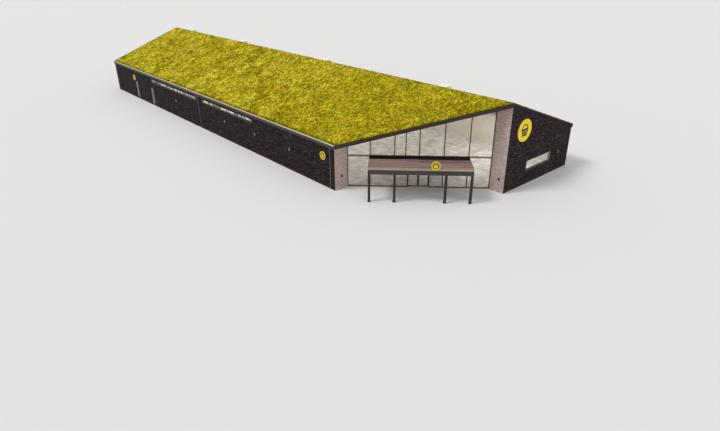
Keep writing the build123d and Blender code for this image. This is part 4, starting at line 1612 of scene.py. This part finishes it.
@dataclass
class Canopy:
    """Boards, soffit, felt seams, drip edge and post feet of the canopy."""

    left: float = 1.46374
    right: float = 5.74874
    front: float = -1.0725
    back: float = HALL.setback
    beam_back: float = -0.9675
    beam_top: float = 1.5
    foot: float = 1.445
    felt_front: float = 0.08
    thickness: float = 0.03
    rows: int = 12
    gap: float = 0.004
    board_breaks: tuple[float, ...] = (0.36, 0.64, 0.5)
    board_chamfer: float = 0.0025
    post_lines: tuple[float, ...] = (1.51624, 2.56124, 4.65124, 5.69624)
    post_side: float = 0.105
    plate_reach: float = 0.020
    plate_rise: float = 0.006
    bolt_reach: float = 0.010
    bolt: Profile = ((0.006, 0.005), (0.006, 0.010), (0.005, 0.0115))
    soffit: float = 1.235
    soffit_rows: int = 17
    soffit_inset: float = 0.05
    soffit_gap: float = 0.0015
    soffit_thickness: float = 0.014
    seams: int = 7
    seam_inset: float = 0.004
    lap: float = 0.034
    strip_front: float = -1.0845
    strip_low: float = 1.435
    strip_high: float = 1.53

    @property
    def post_middle(self) -> float:
        """Depth of the posts' middle lines."""
        return (self.front + self.beam_back) / 2

    def slope_boards(self) -> Mould:
        """Boards down the slope: each is a chamfered box turned into the slope's plane."""
        run, rise = self.felt_front - self.front, self.foot - self.beam_top
        length, width = math.hypot(run, rise), self.right - self.left
        pitch, half = length / self.rows, self.gap / 2
        chance = np.random.default_rng(41)
        low, high, tones = [], [], []
        for row in range(self.rows):
            near = row * pitch + (half if row else 0.0)
            far = (row + 1) * pitch - (half if row < self.rows - 1 else 0.0)
            breaks = [0.0, width * self.board_breaks[row % 3], width]
            for a, b in zip(breaks, breaks[1:]):
                low.append((self.left + a + (half if a else 0), near, 0.0))
                high.append((self.left + b - (half if b < width else 0), far, self.thickness))
                tones.append(chance.uniform(0, 1))
        points, faces = chamfered(low, high, self.board_chamfer)
        across = points[:, 1] / length
        placed = np.column_stack([points[:, 0], self.front + across * run,
                                  self.beam_top + across * rise + points[:, 2]])
        return Mould().add((placed, faces), ENTRANCE, np.repeat(tones, 24))

    def edge_strip(self) -> Mould:
        """The folded strip along the front edge: its profile carried from side to side in lengths."""
        mould = Mould()
        near, far, low, high = self.strip_front, self.front, self.strip_low, self.strip_high
        drip = near - 0.004
        profile = np.array([(near + 0.002, low), (far, low), (far, high), (near + 0.003, high),
                            (near, high - 0.003), (near, low + 0.014), (drip, low + 0.008),
                            (drip, low + 0.002)])
        breaks = np.linspace(self.left, self.right, 4)
        for number, (a, b) in enumerate(zip(breaks, breaks[1:])):
            ends = [a + (0.001 if number else 0.0), b - (0.001 if number < 2 else 0.0)]
            mould.add(carried(lifted([profile] * 2, ends, 0)), ENTRANCE, 0.3 + 0.2 * number)
        return mould

    def soffit_boards(self) -> Mould:
        """Boards under the canopy, side by side."""
        pitch = (self.back - self.beam_back) / self.soffit_rows
        rows = np.arange(self.soffit_rows)
        x0, x1 = self.left + self.soffit_inset, self.right - self.soffit_inset
        top = self.soffit + self.soffit_thickness
        low, high = (np.stack([np.full(len(rows), x), self.beam_back + (rows + step) * pitch + gap,
                               np.full(len(rows), z)], axis=1)
                     for x, step, gap, z in ((x0, 0, self.soffit_gap, self.soffit),
                                             (x1, 1, -self.soffit_gap, top)))
        tones = np.random.default_rng(42).uniform(0, 1, len(rows))
        return Mould().add(chamfered(low, high, self.soffit_gap), ENTRANCE, np.repeat(tones, 24))

    def felt_seams(self) -> Mould:
        """Low laps across the felt, a little short of its front and back."""
        mould = Mould()
        inset, top = self.seam_inset, self.foot + self.thickness
        for x in np.linspace(self.left, self.right, self.seams + 2)[1:-1] - inset:
            mould.add(chamfered((x, self.felt_front + inset, top - 0.0005),
                                (x + self.lap, self.back - inset, top + 0.002), 0.001), ENTRANCE)
        return mould

    def foot_plates(self) -> Mould:
        """A square plate under every post."""
        mould, y = Mould(), self.post_middle
        reach = self.post_side / 2 + self.plate_reach
        for x in self.post_lines:
            low, high = (x - reach, y - reach, 0.0), (x + reach, y + reach, self.plate_rise)
            mould.add(chamfered(low, high, 0.0015), ENTRANCE)
        return mould

    def bolts(self) -> Mould:
        """Four hexagonal bolt heads on every foot plate."""
        mould = Mould()
        reach = self.post_side / 2 + self.bolt_reach
        levels = [z for _, z in self.bolt]
        for line in self.post_lines:
            for sx in (-1, 1):
                for sy in (-1, 1):
                    middle = (line + sx * reach, self.post_middle + sy * reach)
                    outlines = [circle(6, r, middle) for r, _ in self.bolt]
                    mould.add(carried(lifted(outlines, levels, 2)), ENTRANCE)
        return mould

    def build(self) -> None:
        """Builds and dresses the canopy."""
        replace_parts(self.slope_boards().build("canopy_slope_boards", Slot.BOARDS, BOARDS), "canopy_boards")
        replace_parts(self.soffit_boards().build("canopy_soffit_boards", Slot.BOARDS, BOARDS), "canopy_soffit")
        self.felt_seams().build("felt_seams", Slot.FELT, ROOF_FELT)
        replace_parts(self.edge_strip().build("canopy_trim", Slot.PALE_METAL, TRIM), "canopy_edge_strip")
        self.foot_plates().build("post_foot_plates", Slot.GREY_METAL, POST_STEEL)
        self.bolts().build("post_bolts", Slot.GREY_METAL, ZINC, 50.0)
        STEEL.dress("canopy_front_beam", "canopy_side_beams")
        POST_STEEL.dress("canopy_posts")
        ROOF_FELT.dress("canopy_roof_felt")


@dataclass
class RoundSign:
    """A round sign with a raised rim and a plain basket on it."""

    name: str
    face: Face
    x: float
    z: float
    front: float
    radius: float
    dark_field: bool
    relief: float = 0.003

    def bars(self) -> list[Array]:
        """Outlines of the basket's rim, foot and upright slats on a sign of radius one."""
        middles = [(place * 0.165, place * 0.235) for place in (-2, -1, 0, 1, 2)]
        return [rectangle(-0.62, 0.62, 0.02, 0.18), rectangle(-0.42, 0.42, -0.60, -0.48)] + [
            np.array([(foot - 0.062, -0.50), (foot + 0.062, -0.50), (top + 0.085, 0.04), (top - 0.085, 0.04)])
            for foot, top in middles]

    def raised(self, outline: Array, near: float, far: float) -> Shape:
        """A flat shape that stands out from the sign: its outline carried from far to near."""
        return carried(lifted([outline + (self.x, self.z)] * 2, [far, near], 1))

    def basket(self, near: float, far: float, scale: float) -> Mould:
        """Bars, and a handle whose cross-section is carried along half a circle.

        Args:
            near: Depth of its outer side.
            far: Depth of its inner side.
            scale: Radius of the round that it fills.

        Returns:
            The shapes.
        """
        mould = Mould()
        for outline in self.bars():
            mould.add(self.raised(outline * scale, near, far), self.face)
        turn = np.linspace(0, math.pi, 25)[:, None]
        size = np.array([0.36, 0.36, 0.49, 0.49])[None] * scale
        depth = np.broadcast_to(np.array([near, far, far, near]), (25, 4))
        stations = np.stack([self.x + size * np.cos(turn), depth,
                             self.z + 0.16 * scale + size * np.sin(turn)], axis=-1)
        return mould.add(carried(stations[:, ::-1]), self.face)

    def build(self) -> None:
        """A rim, the dark field where there is one, and the basket."""
        r, y = self.radius, self.front
        inner = r - (0.20 if self.dark_field else 0.05) * r
        profile = ((inner, y + 0.002), (r, y + 0.002), (r, y - 0.002), (r - 0.002, y - 0.004),
                   (inner + 0.002, y - 0.004), (inner, y - 0.002))
        rim = Mould().add(turned(profile, 72, (self.x, self.z), 1), self.face)
        rim.build(f"{self.name}_rim", Slot.SIGN, YELLOW, 40.0)
        near, far, colour = y - self.relief, y + 0.001, CHARCOAL
        if self.dark_field:
            ground = Mould().add(self.raised(circle(64, inner - 0.001), y - 0.0015, far), self.face)
            ground.build(f"{self.name}_field", Slot.SIGN, CHARCOAL)
            near, far, colour = near - 0.001, y - 0.001, YELLOW
        self.basket(near, far, 0.86 * r).build(f"{self.name}_basket", Slot.SIGN, colour, 50.0)


@dataclass
class Services:
    """Pipe clips, lamp lenses and lamp covers on the walls.

    A lens and a cap are given by half their width, both depths, foot and head from the lamp's middle.
    """

    pipe_places: tuple[float, ...] = (0.28, 12.3875, 25.27)
    pipe_centre: float = -0.02
    clip: Profile = ((0.0182, 0.009), (0.0196, 0.009), (0.0196, -0.009), (0.0182, -0.009))
    clip_levels: tuple[float, ...] = (0.2, 0.78, 1.36, 1.75)
    lamp_places: tuple[float, ...] = (3.35, 6.39, 9.43, 15.51)
    lamp_level: float = 1.03
    gable_lamp: tuple[float, float] = (4.18, 0.915)
    lens: tuple[float, ...] = (0.014, -0.032, -0.029, -0.055, 0.055)
    lower_cap: tuple[float, ...] = (0.016, -0.027, -0.004, -0.084, -0.059)
    upper_cap: tuple[float, ...] = (0.016, -0.027, -0.004, 0.059, 0.084)
    porch_lamps: tuple[tuple[Face, float], ...] = ((LEFT_RETURN, 0.38), (RIGHT_RETURN, RETURN_LENGTH - 0.27))
    cover_half: float = 0.040
    cover_depth: float = 0.038
    cover_chamfer: float = 0.005
    cover_heights: tuple[float, float] = (0.548, 0.656)

    def clips(self) -> Mould:
        """Rings round the pipes, each a small upright profile turned round the pipe, with a lug."""
        mould = Mould()
        for face in (LEFT, RIGHT):
            for x in (side_x(face, place) for place in self.pipe_places):
                for level in self.clip_levels:
                    profile = np.array(self.clip) + (0.0, level)
                    mould.add(turned(profile, 20, (x, self.pipe_centre), 2), face)
                    mould.add(chamfered((x - 0.006, self.pipe_centre + 0.017, level - 0.007),
                                        (x + 0.006, 0.001, level + 0.007), 0.001), face)
        return mould

    def build(self) -> None:
        """Clips, lenses with their end caps, and the dark covers of the two porch lamps."""
        self.clips().build("pipe_clips", Slot.GREY_METAL, PIPE_GREY, 50.0)
        lenses, covers = Mould(), Mould()
        lamps = [(face, side_x(face, place), self.lamp_level) for face in (LEFT, RIGHT)
                 for place in self.lamp_places]
        for face, x, z in [*lamps, (GABLE, *self.gable_lamp)]:
            for half, y0, y1, low, high in (self.lens, self.lower_cap, self.upper_cap):
                lenses.add(chamfered((x - half, y0, z + low), (x + half, y1, z + high), 0.0012), face)
        for face, x in self.porch_lamps:
            low, high = self.cover_heights
            covers.add(chamfered((x - self.cover_half, -self.cover_depth, low),
                                 (x + self.cover_half, 0.0, high), self.cover_chamfer), face)
        lenses.build("lamp_lenses", Slot.LAMP, LENS)
        covers.build("porch_lamp_covers", Slot.DARK_METAL, GASKET)
        LAMP_GREY.dress("wall_lamps")
        PIPE_GREY.dress("downpipes")


@dataclass
class Studio:
    """Pale floor, soft light and the camera at the photograph's angle."""

    location: tuple[float, float, float] = (-18.589, -27.080, 9.562)
    focal: float = 539.938
    frame_width: int = 720
    pitch: float = 26.5529
    roll: float = -0.3077
    yaw: float = 41.5228
    sensor: float = 36.0
    reach: float = 900.0
    panel_height: float = 1.69

    def camera(self) -> None:
        """Sets the camera by the heading, the angle downwards and the tilt of the horizon."""
        p, r, a = (math.radians(v) for v in (self.pitch, self.roll, self.yaw))
        ahead = Vector((math.sin(a), math.cos(a), 0.0))
        right = Vector((math.cos(a), -math.sin(a), 0.0))
        up = Vector((0.0, 0.0, 1.0))
        look = ahead * math.cos(p) - up * math.sin(p)
        over = ahead * math.sin(p) + up * math.cos(p)
        image_right = right * math.cos(r) + over * math.sin(r)
        image_up = over * math.cos(r) - right * math.sin(r)
        data = bpy.data.cameras.new("photo_camera")
        data.sensor_width = self.sensor
        data.lens = self.focal / self.frame_width * self.sensor
        data.clip_end = 2000.0
        camera = linked("photo_camera", data)
        turn = Matrix((image_right, image_up, -look)).transposed().to_4x4()
        camera.matrix_world = Matrix.Translation(self.location) @ turn
        bpy.context.scene.camera = camera

    def sun(self, name: str, direction: tuple[float, float, float], strength: float, spread: float) -> None:
        """A distant soft light.

        Args:
            name: Name of the light.
            direction: Where it comes from.
            strength: Its strength.
            spread: Its angle in degrees.
        """
        data = bpy.data.lights.new(name, "SUN")
        data.energy = strength
        data.angle = math.radians(spread)
        lamp = linked(name, data)
        lamp.rotation_mode = "QUATERNION"
        lamp.rotation_quaternion = Vector(direction).to_track_quat("Z", "Y")

    def panel(self, name: str, place: tuple[float, float], size: tuple[float, float], power: float) -> None:
        """A soft panel inside the hall that shines down and isn't seen itself.

        Args:
            name: Name of the light.
            place: Its middle in plan.
            size: Its two sides.
            power: Its strength in watts.
        """
        data = bpy.data.lights.new(name, "AREA")
        data.shape = "RECTANGLE"
        data.size, data.size_y = size
        data.energy = power
        data.color = (1.0, 0.92, 0.83)
        lamp = linked(name, data)
        lamp.location = (*place, self.panel_height)
        lamp.visible_camera = lamp.visible_glossy = lamp.visible_transmission = False

    def floor(self) -> None:
        """A wide pale floor."""
        mesh = bpy.data.meshes.new("studio_floor")
        corners = rectangle(-self.reach, self.reach, -self.reach, self.reach)
        mesh.from_pydata([(x, y, 0) for x, y in corners], [], [(0, 1, 2, 3)])
        material = bpy.data.materials.new("studio_floor")
        material.use_nodes = True
        shader = material.node_tree.nodes["Principled BSDF"]
        shader.inputs["Base Color"].default_value = (0.72, 0.72, 0.71, 1.0)
        shader.inputs["Roughness"].default_value = 0.9
        mesh.materials.append(material)
        linked("studio_floor", mesh)

    def world(self) -> None:
        """White to the camera and in reflections, and a plain grey light on surfaces."""
        world = bpy.data.worlds.new("studio")
        world.use_nodes = True
        world.node_tree.nodes.clear()
        g = Graph(world.node_tree)
        path = g.add("ShaderNodeLightPath")
        seen = g.math("MAXIMUM", path.outputs["Is Camera Ray"],
                      g.math("MAXIMUM", path.outputs["Is Glossy Ray"], path.outputs["Is Transmission Ray"]))
        strength = g.span(seen, 0.0, 1.0, 0.55, 1.0)
        background = g.add("ShaderNodeBackground", {"Color": (1.0, 1.0, 1.0), "Strength": strength})
        g.add("ShaderNodeOutputWorld", {0: background.outputs[0]})
        bpy.context.scene.world = world

    def build(self) -> None:
        """Sets up everything round the hall."""
        bpy.context.scene.view_settings.view_transform = "Standard"
        self.camera()
        self.floor()
        self.world()
        self.sun("key_sun", (-0.55, 0.25, 0.80), 1.5, 18.0)
        self.sun("fill_sun", (-0.35, -0.80, 0.45), 0.9, 50.0)
        for number, (y, power) in enumerate(((-6.0, 135.0), (2.0, 255.0), (10.6, 380.0))):
            self.panel(f"hall_panel_{number}", (0.0, y), (9.4, 8.0), power)
        self.panel("hall_panel_front", (2.6, -12.6), (4.0, 4.6), 78.0)


def main() -> None:
    """Builds the studio and every sub-assembly in order."""
    logging.basicConfig(level=logging.INFO, format="%(name)s: %(message)s")
    screen = EntranceScreen()
    for assembly in (Studio(), Brickwork(), Rooflights(), PlantedRoof(), RoofEdge(), WallWindows(), screen,
                     SlidingDoor(-1, screen), SlidingDoor(1, screen), Canopy(),
                     RoundSign("gable_sign", GABLE, 1.05, 2.61, -0.022, 0.49, False),
                     RoundSign("near_side_sign", LEFT, 24.755, 1.415, -0.022, 0.185, True),
                     RoundSign("far_side_sign", LEFT, 3.5, 1.415, -0.022, 0.185, True),
                     RoundSign("canopy_sign", ENTRANCE, screen.middle + 0.595, 1.655, -1.1065, 0.18, True),
                     Services()):
        log.info("building %s", type(assembly).__name__)
        assembly.build()
    YELLOW.dress("gable_sign", "side_signs", "canopy_sign")
    GLULAM.dress("rafters_left", "rafters_right")
    FLOOR.dress("floor_slab")


if __name__ == "__main__":
    main()
